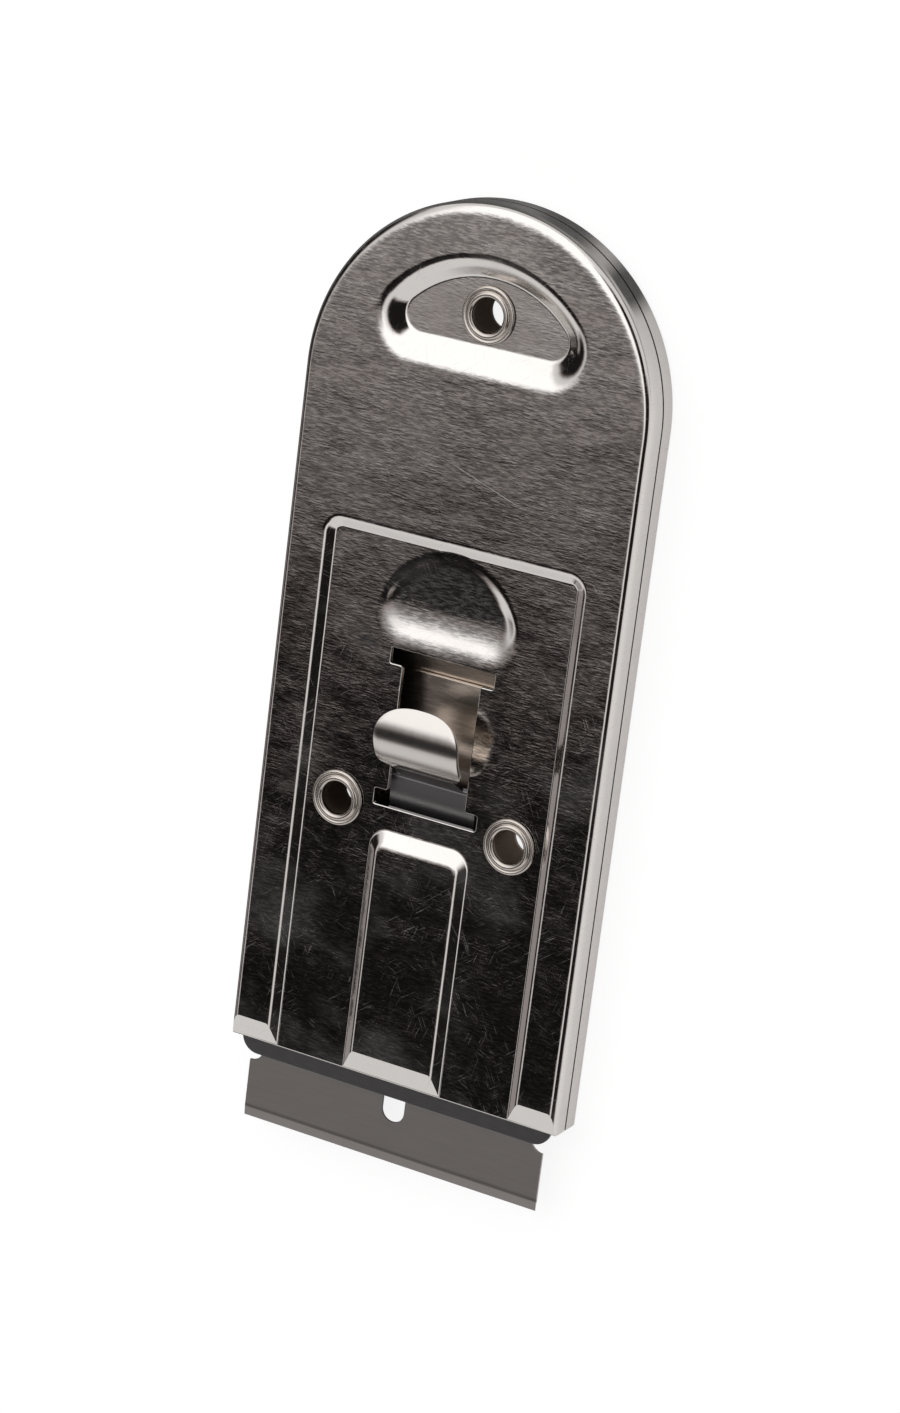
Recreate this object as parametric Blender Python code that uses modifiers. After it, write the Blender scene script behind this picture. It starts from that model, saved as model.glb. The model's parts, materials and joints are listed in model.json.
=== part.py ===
"""Window scraper with a retractable 40 mm blade.

Two pressed sheet-metal shells are held together by three eyelets. A slide carries the
blade between them, and a sprung thumb catch on the slide reaches out through a slot in
the front shell. The scraper lies on its back: X runs across it, Y runs along it from
the blade to the hanging end, and Z is the normal of its front. Lengths are in metres.
"""

import math

import bmesh
import bpy

MM = 0.001

# Blade, whose width sets the width of everything round it
BLADE_WIDTH = 40.0 * MM
BLADE_HEIGHT = 18.5 * MM
BLADE_THICKNESS = 0.3 * MM
BLADE_REACH = 10.5 * MM
EDGE_GRIND = 1.3 * MM
EDGE_LAND = 0.06 * MM
SIDE_NOTCH_RADIUS = 1.7 * MM
SIDE_NOTCH_RISE = 8.9 * MM
CENTRE_SLOT_WIDTH = 3.0 * MM
CENTRE_SLOT_LENGTH = 9.5 * MM
CENTRE_SLOT_RISE = 5.1 * MM

# Clearances
SIDE_CLEARANCE = 0.4 * MM
RUNNING_GAP = 0.25 * MM
SEAT_GAP = 0.2 * MM
SEAM_GAP = 0.3 * MM
CATCH_GAP = 0.3 * MM
OVERCUT = 2.0 * MM

# Slide: front jaw, carrier and rivets
JAW_OVERHANG = 1.0 * MM
JAW_SHEET = 0.5 * MM
JAW_LIP = 2.1 * MM
JAW_CORNER = 2.2 * MM
CARRIER_SHEET = 0.6 * MM
CARRIER_LIP = 1.9 * MM
CARRIER_SETBACK = 0.4 * MM
CARRIER_END_Y = 49.0 * MM
WIDE_PART_Y = 8.4 * MM
JOGGLE_RUN = 2.4 * MM
JOGGLE_STAGGER = 0.9 * MM
PAD_LENGTH = 5.0 * MM
STEM_CORNER = 3.0 * MM
PEG_RADIUS = 1.2 * MM
RIVET_SPREAD = 3.6 * MM
RIVET_SHANK_RADIUS = 0.8 * MM
RIVET_HEAD_RADIUS = 1.5 * MM
RIVET_HEAD_HEIGHT = 0.55 * MM
RIVET_FLARE = 0.35 * MM

# Shells
SHEET = 0.6 * MM
WALL_BENDS = (0.4, 0.2)
BODY_LENGTH = 104.7 * MM
BODY_THICKNESS = 6.4 * MM
EDGE_RADIUS = 1.4 * MM
BORDER_WIDTH = 4.76 * MM
PANEL_DEPTH = 0.7 * MM
PANEL_WALL = 1.75 * MM
PANEL_CORNER = 2.5 * MM
PANEL_HEADROOM = 1.4 * MM
MOUTH_RAMP = 2.6 * MM
RIB_HALF_WIDTH = 5.0 * MM
RIB_WALL = 1.7 * MM
RIB_END_WALL = 2.5 * MM
RIB_CORNER = 0.8 * MM
RIB_SLOT_MARGIN = 2.6 * MM

# Hanging recess at the round end, and the thumb dish above the slot
MOON_MARGIN = 5.6 * MM
MOON_CHORD_RISE = 2.3 * MM
MOON_FILLET = 5.0 * MM
MOON_DEPTH = 1.5 * MM
MOON_ARCH_WALL = 3.0 * MM
MOON_CHORD_WALL = 3.7 * MM
BACK_MOON_DEPTH = 0.7 * MM
DISH_RADIUS = 9.4 * MM
DISH_CHORD_DROP = 3.0 * MM
DISH_FILLET = 4.0 * MM
DISH_DEPTH = 0.85 * MM
DISH_ARCH_SHARE = 0.3
DISH_ARCH_WALL = 3.0 * MM
DISH_CHORD_WALL = 6.0 * MM
DISH_BENDS = (0.3, 0.6)
DISH_SLOT_MARGIN = 0.3 * MM

# Slot with a cross notch at each end, where the catch locks
SLOT_WIDTH = 10.2 * MM
NOTCH_WIDTH = 13.6 * MM
NOTCH_HEIGHT = 1.9 * MM
LOWER_NOTCH_Y = 34.15 * MM
LOCK_PITCH = 17.0 * MM

# Eyelets
EYELET_INSET = 5.84 * MM
EYELET_Y = 32.65 * MM
HANG_EYELET_RISE = 9.4 * MM
EYELET_BORE_RADIUS = 1.95 * MM
EYELET_WALL = 0.35 * MM
EYELET_ROLL_WIDTH = 0.85 * MM
EYELET_ROLL_HEIGHT = 0.45 * MM
EYELET_FLANGE_RADIUS = 3.3 * MM
EYELET_FLANGE_HEIGHT = 0.2 * MM
STEM_EYELET_GAP = 1.15 * MM

# Thumb catch, a bent spring strip
CATCH_SHEET = 0.45 * MM
CATCH_Y = 37.3 * MM
CATCH_NECK_GAP = 1.0 * MM
CATCH_SIDE_GAP = 1.2 * MM
CATCH_SETBACK = 0.6 * MM
RAMP_DEGREES = 8.0
RAMP_BEND = 1.0 * MM
RISER_DEGREES = 58.0
RISER_BEND = 0.9 * MM
SHOULDER_RISE = 0.1 * MM
NECK_LENGTH = 3.3 * MM
TAB_HALF_WIDTH = 5.45 * MM
TAB_RADIUS = 5.5 * MM
TAB_DROOP_DEGREES = 32.0
TAB_CORNER = 1.8 * MM
TAB_TIP = 4.4 * MM
TAB_TIP_ROUNDNESS = 2.1

# Facets
END_STEPS = 40
ARCH_STEPS = 28
CORNER_STEPS = 5
OUTLINE_STEPS = 10
ROLL_STEPS = 7
LIP_STEPS = 3
EDGE_STEPS = 4
WALL_BEND_STEPS = 2
WALL_LEAST_STEP = 0.02 * MM
TURN_STEPS = 32
BEND_STEP_DEGREES = 8.0
TIP_STEPS = 10

# Places that follow from the sizes above
JAW_HALF_WIDTH = BLADE_WIDTH / 2 + JAW_OVERHANG
BODY_HALF_WIDTH = JAW_HALF_WIDTH + SIDE_CLEARANCE + SHEET
END_CENTRE_Y = BODY_LENGTH - BODY_HALF_WIDTH
SEAM_Z = (BODY_THICKNESS + SEAM_GAP) / 2
UPPER_NOTCH_Y = LOWER_NOTCH_Y + LOCK_PITCH
SLOT_TOP_Y = UPPER_NOTCH_Y + NOTCH_HEIGHT / 2
SLOT_FOOT_Y = LOWER_NOTCH_Y - NOTCH_HEIGHT / 2
DISH_CHORD_Y = SLOT_TOP_Y + DISH_SLOT_MARGIN
DISH_CENTRE_Y = DISH_CHORD_Y + DISH_CHORD_DROP
PANEL_TOP_Y = DISH_CENTRE_Y + DISH_RADIUS + PANEL_HEADROOM
PANEL_HALF_WIDTH = BODY_HALF_WIDTH - BORDER_WIDTH
RIB_TOP_Y = SLOT_FOOT_Y - RIB_SLOT_MARGIN - RIB_END_WALL
MOON_RADIUS = BODY_HALF_WIDTH - MOON_MARGIN
MOON_CHORD_Y = END_CENTRE_Y + MOON_CHORD_RISE
EYELET_X = PANEL_HALF_WIDTH - EYELET_INSET
EYELET_BARREL_RADIUS = EYELET_BORE_RADIUS + EYELET_WALL
STEM_HALF_WIDTH = EYELET_X - EYELET_BARREL_RADIUS - STEM_EYELET_GAP

# Levels through the thickness, from the front panel and from the back panel
FRONT_INNER_Z = BODY_THICKNESS - PANEL_DEPTH - SHEET
BACK_INNER_Z = PANEL_DEPTH + SHEET
JAW_Z = FRONT_INNER_Z - RUNNING_GAP - JAW_SHEET / 2
BLADE_Z = JAW_Z - JAW_SHEET / 2 - SEAT_GAP - BLADE_THICKNESS / 2
CARRIER_Z = BLADE_Z - BLADE_THICKNESS / 2 - SEAT_GAP - CARRIER_SHEET / 2
STEM_Z = BACK_INNER_Z + RUNNING_GAP + CARRIER_SHEET / 2
JAW_PAD_Z = STEM_Z + CARRIER_SHEET / 2 + SEAT_GAP + JAW_SHEET / 2
LEAF_Z = JAW_PAD_Z + JAW_SHEET / 2 + SEAT_GAP + CATCH_SHEET / 2
SHOULDER_Z = FRONT_INNER_Z - CATCH_GAP - CATCH_SHEET / 2
PAD_Y = WIDE_PART_Y + JOGGLE_RUN
RIVET_Y = PAD_Y + PAD_LENGTH / 2
SHOULDER_HALF_WIDTH = NOTCH_WIDTH / 2 - CATCH_SIDE_GAP
NECK_HALF_WIDTH = SLOT_WIDTH / 2 - CATCH_NECK_GAP
CUTTING_EDGE_Y = -BLADE_REACH
BLADE_TOP_Y = CUTTING_EDGE_Y + BLADE_HEIGHT

NICKEL = ((0.62, 0.60, 0.57), 0.24, 1.0)
EYELET_NICKEL = ((0.70, 0.67, 0.62), 0.18, 1.0)
BLADE_STEEL = ((0.42, 0.41, 0.40), 0.42, 1.0)
DARK_STEEL = ((0.13, 0.13, 0.14), 0.45, 1.0)
SPRING_STEEL = ((0.66, 0.65, 0.63), 0.28, 1.0)


def clear_scene():
    for scene_object in list(bpy.data.objects):
        bpy.data.objects.remove(scene_object, do_unlink=True)


def new_collection(name, rendered):
    collection = bpy.data.collections.new(name)
    collection.hide_render = not rendered
    bpy.context.scene.collection.children.link(collection)
    return collection


def material(name, finish):
    colour, roughness, metallic = finish
    made = bpy.data.materials.new(name)
    made.use_nodes = True
    shader = made.node_tree.nodes["Principled BSDF"]
    shader.inputs["Base Color"].default_value = (*colour, 1.0)
    shader.inputs["Roughness"].default_value = roughness
    shader.inputs["Metallic"].default_value = metallic
    return made


def add_empty(name, parent, location):
    empty = bpy.data.objects.new(name, None)
    empty.parent = parent
    empty.location = location
    PARTS.objects.link(empty)
    return empty


def add_part(name, mesh, parent, finish):
    part = bpy.data.objects.new(name, mesh)
    part.parent = parent
    mesh.materials.append(material(name + "_finish", finish))
    PARTS.objects.link(part)
    return part


def add_cutter(name, mesh, parent):
    cutter = bpy.data.objects.new(name, mesh)
    cutter.parent = parent
    cutter.hide_render = True
    cutter.display_type = "WIRE"
    CUTTERS.objects.link(cutter)
    return cutter


def boolean(part, other, operation="DIFFERENCE"):
    modifier = part.modifiers.new(other.name, "BOOLEAN")
    modifier.operation = operation
    modifier.solver = "EXACT"
    modifier.object = other


def smooth(part, degrees=30.0):
    part.data.shade_smooth()
    part.data.set_sharp_from_angle(angle=math.radians(degrees))


def arc(centre_x, centre_y, radius, start, end, steps):
    """Points along an arc between two angles in degrees, both ends included."""
    angles = [math.radians(start + (end - start) * step / steps) for step in range(steps + 1)]
    return [(centre_x + radius * math.cos(a), centre_y + radius * math.sin(a)) for a in angles]


def arched_outline(half_width, foot_y):
    """The scraper's outline: straight sides from a square foot up to the round end."""
    end = arc(0, END_CENTRE_Y, half_width, 0, 180, END_STEPS)
    return [(half_width, foot_y), *end, (-half_width, foot_y)]


def shouldered_outline(half_width, foot_y, top_y, corner):
    """Straight sides from a square foot up to two rounded corners."""
    right = arc(half_width - corner, top_y - corner, corner, 0, 90, CORNER_STEPS)
    left = arc(corner - half_width, top_y - corner, corner, 90, 180, CORNER_STEPS)
    return [(half_width, foot_y), *right, *left, (-half_width, foot_y)]


def moon_outline(radius, centre_y, chord_y, fillet):
    """A round arch on a straight chord, with both corners rounded."""
    corner_y = chord_y + fillet
    corner_x = math.sqrt((radius - fillet) ** 2 - (corner_y - centre_y) ** 2)
    lean = math.degrees(math.atan2(corner_y - centre_y, corner_x))
    right = arc(corner_x, corner_y, fillet, -90, lean, CORNER_STEPS)
    arch = arc(0, centre_y, radius, lean, 180 - lean, ARCH_STEPS)
    left = arc(-corner_x, corner_y, fillet, 180 - lean, 270, CORNER_STEPS)
    return [*right, *arch[1:-1], *left]


def wall_profile(share, bends):
    """The steepness and the drop of a pressed wall, each from 0 to 1, a share of the way from rim to floor.

    It bends over at its rim, runs straight and bends back at its foot. The bends are shares of it too.
    """
    rim, foot = bends
    most = 1 / (1 - (rim + foot) / 2)
    if share < rim:
        return most * share / rim, most * share**2 / (2 * rim)
    left = 1 - share
    if left < foot:
        return most * left / foot, 1 - most * left**2 / (2 * foot)
    return most, most * (share - rim / 2)


def drawn_wall(depth, runs, skin, bends=WALL_BENDS):
    """Steps (insets, drop) up a pressed wall from its floor, the skin's depth inside the metal.

    Each run has its own inset. A bend tighter than the skin is left sharp.
    """
    rim, foot = bends
    shares = [rim * step / WALL_BEND_STEPS for step in range(WALL_BEND_STEPS + 1)]
    shares += [1 - foot * step / WALL_BEND_STEPS for step in range(WALL_BEND_STEPS, -1, -1)]
    steps = []
    for share in shares:
        steepness, fall = wall_profile(share, bends)
        slopes = [math.atan(depth / run * steepness) for run in runs]
        insets = [run * share - skin * math.sin(slope) for run, slope in zip(runs, slopes)]
        drop = depth * fall + skin * math.cos(slopes[0])
        if not steps or drop > steps[-1][1] + WALL_LEAST_STEP:
            steps.append((insets, drop))
    return reversed(steps)


def loft(name, sections, across=False):
    """A closed solid through outlines of equal count, each at a height along Z, or along X if across."""
    shape = bmesh.new()
    rings = []
    for outline, height in sections:
        places = [(height, u, v) if across else (u, v, height) for u, v in outline]
        rings.append([shape.verts.new(place) for place in places])
    for lower, upper in zip(rings, rings[1:]):
        for here in range(len(lower)):
            shape.faces.new((lower[here - 1], lower[here], upper[here], upper[here - 1]))
    shape.faces.new(reversed(rings[0]))
    shape.faces.new(rings[-1])
    bmesh.ops.recalc_face_normals(shape, faces=shape.faces)
    mesh = bpy.data.meshes.new(name)
    shape.to_mesh(mesh)
    shape.free()
    return mesh


def flat_plate(name, outlines, thickness, z):
    """A plate from closed outlines, the first its edge and the rest its holes, centred on height z."""
    curve = bpy.data.curves.new(name, "CURVE")
    curve.dimensions = "2D"
    curve.fill_mode = "BOTH"
    curve.extrude = thickness / 2
    for outline in outlines:
        spline = curve.splines.new("POLY")
        spline.points.add(len(outline) - 1)
        spline.use_cyclic_u = True
        for point, (x, y) in zip(spline.points, outline):
            point.co = (x, y, 0, 1)
    drawn = bpy.data.objects.new(name, curve)
    CUTTERS.objects.link(drawn)
    bpy.context.view_layer.update()
    mesh = bpy.data.meshes.new_from_object(drawn.evaluated_get(bpy.context.evaluated_depsgraph_get()))
    bpy.data.objects.remove(drawn)
    shape = bmesh.new()
    shape.from_mesh(mesh)
    bmesh.ops.remove_doubles(shape, verts=shape.verts, dist=1e-7)
    bmesh.ops.translate(shape, verts=shape.verts, vec=(0, 0, z))
    bmesh.ops.recalc_face_normals(shape, faces=shape.faces)
    shape.to_mesh(mesh)
    shape.free()
    return mesh


def strip_path(start_y, start_z, moves):
    """Points (distance, y, z) along a bent strip: each move is a length, or a radius and a turn upward."""
    y, z, heading, distance = start_y, start_z, 0.0, 0.0
    path = [(distance, y, z)]
    for length, turn in moves:
        steps = max(1, math.ceil(abs(turn) / BEND_STEP_DEGREES))
        arc_length = length * math.radians(abs(turn)) if turn else length
        for _ in range(steps):
            half_turn = math.radians(turn) / steps / 2
            chord = arc_length / steps
            if turn:
                chord = 2 * length * math.sin(abs(half_turn))
            heading += half_turn
            y += chord * math.cos(heading)
            z += chord * math.sin(heading)
            heading += half_turn
            distance += arc_length / steps
            path.append((distance, y, z))
    return path


def along(path, distance):
    """The point (y, z) a distance along a strip's path."""
    for (start, y0, z0), (end, y1, z1) in zip(path, path[1:]):
        if distance <= end:
            share = (distance - start) / (end - start)
            return y0 + share * (y1 - y0), z0 + share * (z1 - z0)
    return path[-1][1:]


def bent_strip(name, path, widths):
    """A bent strip as a ribbon mesh: widths holds (distance, half width) from end to end."""
    shape = bmesh.new()
    rows = []
    for distance, half_width in widths:
        y, z = along(path, distance)
        rows.append([shape.verts.new((side * half_width, y, z)) for side in (1, -1)])
    for first, second in zip(rows, rows[1:]):
        shape.faces.new((first[0], second[0], second[1], first[1]))
    bmesh.ops.recalc_face_normals(shape, faces=shape.faces)
    mesh = bpy.data.meshes.new(name)
    shape.to_mesh(mesh)
    shape.free()
    return mesh


def solidify(part, thickness):
    modifier = part.modifiers.new("sheet", "SOLIDIFY")
    modifier.thickness = thickness
    modifier.offset = 0.0
    modifier.use_even_offset = True


def turned(name, profile):
    """An open mesh wire of (radius, z) points, for a Screw modifier about Z."""
    shape = bmesh.new()
    points = [shape.verts.new((radius, 0, z)) for radius, z in profile]
    for first, second in zip(points, points[1:]):
        shape.edges.new((first, second))
    if profile[0][0] > 0:
        shape.edges.new((points[-1], points[0]))
    mesh = bpy.data.meshes.new(name)
    shape.to_mesh(mesh)
    shape.free()
    return mesh


def screw(part):
    modifier = part.modifiers.new("turn", "SCREW")
    modifier.axis = "Z"
    modifier.angle = 2 * math.pi
    modifier.steps = TURN_STEPS
    modifier.render_steps = TURN_STEPS
    modifier.use_merge_vertices = True
    modifier.merge_threshold = 1e-6


# Shells: each is the solid under its outer skin less the solid under its inner skin


def block(name, skin, foot_y, open_z):
    """The arched block of a shell, with its front edge rounded."""
    radius = EDGE_RADIUS - skin
    sections = [(arched_outline(BODY_HALF_WIDTH - skin, foot_y), open_z)]
    for x, z in arc(0, 0, radius, 0, 90, EDGE_STEPS):
        half_width = BODY_HALF_WIDTH - EDGE_RADIUS + x
        sections.append((arched_outline(half_width, foot_y), BODY_THICKNESS - EDGE_RADIUS + z))
    return loft(name, sections)


def panel_recess(name, skin, parent, ribbed):
    """The long recess of a panel, open at the mouth, less the rib that stands in it."""
    sections = []
    for (inset,), drop in drawn_wall(PANEL_DEPTH, [PANEL_WALL], skin):
        outline = shouldered_outline(
            PANEL_HALF_WIDTH - inset, -OVERCUT, PANEL_TOP_Y - inset, PANEL_CORNER - inset
        )
        sections.append((outline, BODY_THICKNESS - drop))
    sections.append((sections[-1][0], BODY_THICKNESS + OVERCUT))
    recess = add_cutter(name + "_panel", loft(name + "_panel", sections), parent)
    if ribbed:
        boolean(recess, rib(name + "_rib", skin, parent))
    return recess


def rib(name, skin, parent):
    """The raised rib from the mouth to the slot, as tall as the panel is deep."""
    sections = []
    for (outset, end_outset), drop in drawn_wall(PANEL_DEPTH, [RIB_WALL, RIB_END_WALL], skin):
        outline = shouldered_outline(
            RIB_HALF_WIDTH + outset, -2 * OVERCUT, RIB_TOP_Y + end_outset, RIB_CORNER + outset
        )
        sections.append((outline, BODY_THICKNESS - drop))
    sections.insert(0, (sections[0][0], BODY_THICKNESS - PANEL_DEPTH - OVERCUT))
    sections.append((sections[-1][0], BODY_THICKNESS + 2 * OVERCUT))
    return add_cutter(name, loft(name, sections), parent)


def moon_recess(name, skin, parent, depth):
    """The half-moon round the hanging eyelet, steeper at its arch than at its chord."""
    sections = []
    for (inset, chord_inset), drop in drawn_wall(depth, [MOON_ARCH_WALL, MOON_CHORD_WALL], skin):
        outline = moon_outline(
            MOON_RADIUS - inset, END_CENTRE_Y, MOON_CHORD_Y + chord_inset, MOON_FILLET - inset
        )
        sections.append((outline, BODY_THICKNESS - drop))
    sections.append((sections[-1][0], BODY_THICKNESS + OVERCUT))
    return add_cutter(name + "_moon", loft(name + "_moon", sections), parent)


def dish_recess(name, skin, parent):
    """The dish that the thumb reaches into above the slot, ramped at its chord and shallower at its arch."""
    level = BODY_THICKNESS - PANEL_DEPTH - skin
    sections = []
    runs = [DISH_ARCH_WALL, DISH_CHORD_WALL]
    for (inset, chord_inset), drop in drawn_wall(DISH_DEPTH, runs, 0.0, DISH_BENDS):
        outline = moon_outline(
            DISH_RADIUS - inset, DISH_CENTRE_Y, DISH_CHORD_Y + chord_inset, DISH_FILLET - inset
        )
        sections.append((outline, level - drop))
    sections.append((sections[-1][0], BODY_THICKNESS + OVERCUT))
    mesh = loft(name + "_dish", sections)
    for vertex in mesh.vertices:
        drop = max(0.0, level - vertex.co.z)
        share = (vertex.co.y - DISH_CHORD_Y) / (DISH_CHORD_DROP + DISH_RADIUS)
        vertex.co.z += drop * (1 - DISH_ARCH_SHARE) * share
    return add_cutter(name + "_dish", mesh, parent)


def mouth_ramp(name, skin, parent):
    """The wedge that brings the border and the rib down to the panel at the mouth."""
    rise = PANEL_DEPTH / MOUTH_RAMP
    top = BODY_THICKNESS + 2 * OVERCUT
    sunk = skin / math.cos(math.atan(rise))
    foot_z = BODY_THICKNESS - PANEL_DEPTH - sunk
    far_y = MOUTH_RAMP + 2 * OVERCUT
    wedge = [
        (-2 * OVERCUT, foot_z - 2 * OVERCUT * rise),
        (far_y, foot_z + far_y * rise),
        (far_y, top),
        (-2 * OVERCUT, top),
    ]
    half_width = BODY_HALF_WIDTH + OVERCUT
    sections = [(wedge, -half_width), (wedge, half_width)]
    return add_cutter(name + "_ramp", loft(name + "_ramp", sections, across=True), parent)


def shell(name, presses):
    """A shell of even thickness: presses(name, skin, parent) makes what is pressed into each skin."""
    outer = add_part(name, block(name, 0.0, 0.0, SEAM_Z), HOUSING, NICKEL)
    inside = add_cutter(name + "_inside", block(name, SHEET, -OVERCUT, SEAM_Z - OVERCUT), outer)
    for form, skin in ((outer, 0.0), (inside, SHEET)):
        for press in presses(form.name, skin, outer):
            boolean(form, press)
    boolean(outer, inside)
    return outer


def front_presses(name, skin, parent):
    return [
        panel_recess(name, skin, parent, ribbed=True),
        mouth_ramp(name, skin, parent),
        moon_recess(name, skin, parent, MOON_DEPTH),
        dish_recess(name, skin, parent),
    ]


def back_presses(name, skin, parent):
    return [
        panel_recess(name, skin, parent, ribbed=False),
        moon_recess(name, skin, parent, BACK_MOON_DEPTH),
    ]


def slot_cutter():
    """The catch's slot, with a wider cross notch at each end."""
    slot_x = SLOT_WIDTH / 2
    notch_x = NOTCH_WIDTH / 2
    lower_y = SLOT_FOOT_Y + NOTCH_HEIGHT
    upper_y = SLOT_TOP_Y - NOTCH_HEIGHT
    right = [
        (notch_x, SLOT_FOOT_Y),
        (notch_x, lower_y),
        (slot_x, lower_y),
        (slot_x, upper_y),
        (notch_x, upper_y),
        (notch_x, SLOT_TOP_Y),
    ]
    left = [(-x, y) for x, y in reversed(right)]
    mesh = flat_plate("slot", [right + left], 2 * OVERCUT, FRONT_INNER_Z)
    return add_cutter("slot", mesh, HOUSING)


def bore_cutter(name, x, y):
    bore = arc(x, y, EYELET_BARREL_RADIUS + SEAT_GAP, 0, 360, TURN_STEPS)[:-1]
    mesh = loft(name, [(bore, -OVERCUT), (bore, BODY_THICKNESS + OVERCUT)])
    return add_cutter(name, mesh, HOUSING)


def eyelet_rim():
    """The rolled rim of an eyelet and the lower lip round it, from outside to inside, as (radius, height)."""
    lip = EYELET_FLANGE_RADIUS - EYELET_BORE_RADIUS - EYELET_ROLL_WIDTH
    lip_arc = arc(0, 0, 1, 0, 130, LIP_STEPS)
    roll_arc = arc(0, 0, 1, 20, 180, ROLL_STEPS)
    lip_middle = EYELET_FLANGE_RADIUS - lip / 2
    roll_middle = EYELET_BORE_RADIUS + EYELET_ROLL_WIDTH / 2
    return [
        *[(lip_middle + lip / 2 * u, EYELET_FLANGE_HEIGHT * v) for u, v in lip_arc],
        *[(roll_middle + EYELET_ROLL_WIDTH / 2 * u, EYELET_ROLL_HEIGHT * v) for u, v in roll_arc],
    ]


def eyelet(name, x, y, front_seat, back_seat):
    """A rolled eyelet: a thin barrel with a rim on each shell."""
    front = front_seat + SEAT_GAP
    back = back_seat - SEAT_GAP
    rim = eyelet_rim()
    front_rim = [(radius, front + height) for radius, height in rim]
    back_rim = [(radius, back - height) for radius, height in rim]
    barrel = [(EYELET_BARREL_RADIUS, back), (EYELET_BARREL_RADIUS, front)]
    profile = [*front_rim, *reversed(back_rim), *barrel]
    made = add_part(name, turned(name, profile[::-1]), HOUSING, EYELET_NICKEL)
    made.location = (x, y, 0)
    screw(made)
    smooth(made)
    return made


# Slide: the blade between a front jaw and a carrier, and the rivets through both


def blade():
    """A single-edged blade with a side notch at each end and a centre slot, ground from both faces."""
    half_width = BLADE_WIDTH / 2
    notch_y = CUTTING_EDGE_Y + SIDE_NOTCH_RISE
    right_notch = arc(half_width, notch_y, SIDE_NOTCH_RADIUS, 270, 90, 2 * OUTLINE_STEPS)
    right = [(half_width, CUTTING_EDGE_Y), *right_notch, (half_width, BLADE_TOP_Y)]
    left = [(-x, y) for x, y in reversed(right)]
    slot_radius = CENTRE_SLOT_WIDTH / 2
    slot_foot = CUTTING_EDGE_Y + CENTRE_SLOT_RISE + slot_radius
    slot_top = slot_foot + CENTRE_SLOT_LENGTH - CENTRE_SLOT_WIDTH
    slot = [
        *arc(0, slot_top, slot_radius, 0, 180, OUTLINE_STEPS),
        *arc(0, slot_foot, slot_radius, 180, 360, 2 * OUTLINE_STEPS),
    ]
    made = add_part(
        "blade", flat_plate("blade", [right + left, slot], BLADE_THICKNESS, BLADE_Z), SLIDE, BLADE_STEEL
    )
    for side, name in ((1, "front_grind"), (-1, "back_grind")):
        boolean(made, grind_cutter(name, side))
    return made


def grind_cutter(name, side):
    """The wedge that a grinding wheel takes off one face at the cutting edge."""
    rise = (BLADE_THICKNESS - EDGE_LAND) / 2 / EDGE_GRIND
    start = EDGE_LAND / 2
    wedge = [
        (CUTTING_EDGE_Y - OVERCUT, BLADE_Z + side * (start - OVERCUT * rise)),
        (CUTTING_EDGE_Y + OVERCUT, BLADE_Z + side * (start + OVERCUT * rise)),
        (CUTTING_EDGE_Y - OVERCUT, BLADE_Z + side * (start + 2 * OVERCUT * rise)),
    ]
    half_width = BLADE_WIDTH / 2 + OVERCUT
    mesh = loft(name, [(wedge, -half_width), (wedge, half_width)], across=True)
    return add_cutter(name, mesh, SLIDE)


def joggled_sheet(name, front_y, front_z, step_y, back_z, end_y, half_width, sheet, finish):
    """A sheet that runs level behind or before the blade and steps down to the slide's stem."""
    drop = front_z - back_z
    slant = math.hypot(JOGGLE_RUN, drop)
    fall = math.degrees(math.atan2(drop, JOGGLE_RUN))
    level = end_y - step_y - JOGGLE_RUN
    moves = [(step_y - front_y, 0), (0, -fall), (slant, 0), (0, fall), (level, 0)]
    path = strip_path(front_y, front_z, moves)
    mesh = bent_strip(name, path, [(d, half_width) for d in sorted({d for d, _, _ in path})])
    made = add_part(name, mesh, SLIDE, finish)
    solidify(made, sheet)
    return made


def tee_outline(half_width, front_y, wide_y, end_y):
    """A wide front with rounded corners, and a narrower stem that ends in rounded corners."""
    front = arc(half_width - JAW_CORNER, front_y + JAW_CORNER, JAW_CORNER, 270, 360, OUTLINE_STEPS)
    stem = arc(STEM_HALF_WIDTH - STEM_CORNER, end_y - STEM_CORNER, STEM_CORNER, 0, 90, CORNER_STEPS)
    right = [*front, (half_width, wide_y), (STEM_HALF_WIDTH, wide_y), *stem]
    return right + [(-x, y) for x, y in reversed(right)]


def trim(part, outline):
    """Cuts a bent sheet to its outline."""
    mesh = loft(part.name + "_outline", [(outline, 0.0), (outline, BODY_THICKNESS)])
    boolean(part, add_cutter(part.name + "_outline", mesh, SLIDE), "INTERSECT")


def blade_jaw():
    """The front jaw, whose lip shows at the mouth over the blade."""
    end_y = PAD_Y + PAD_LENGTH
    jaw = joggled_sheet(
        "blade_jaw", -JAW_LIP, JAW_Z, WIDE_PART_Y, JAW_PAD_Z, end_y, JAW_HALF_WIDTH, JAW_SHEET, DARK_STEEL
    )
    trim(jaw, tee_outline(JAW_HALF_WIDTH, -JAW_LIP, WIDE_PART_Y, end_y))
    return jaw


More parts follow.
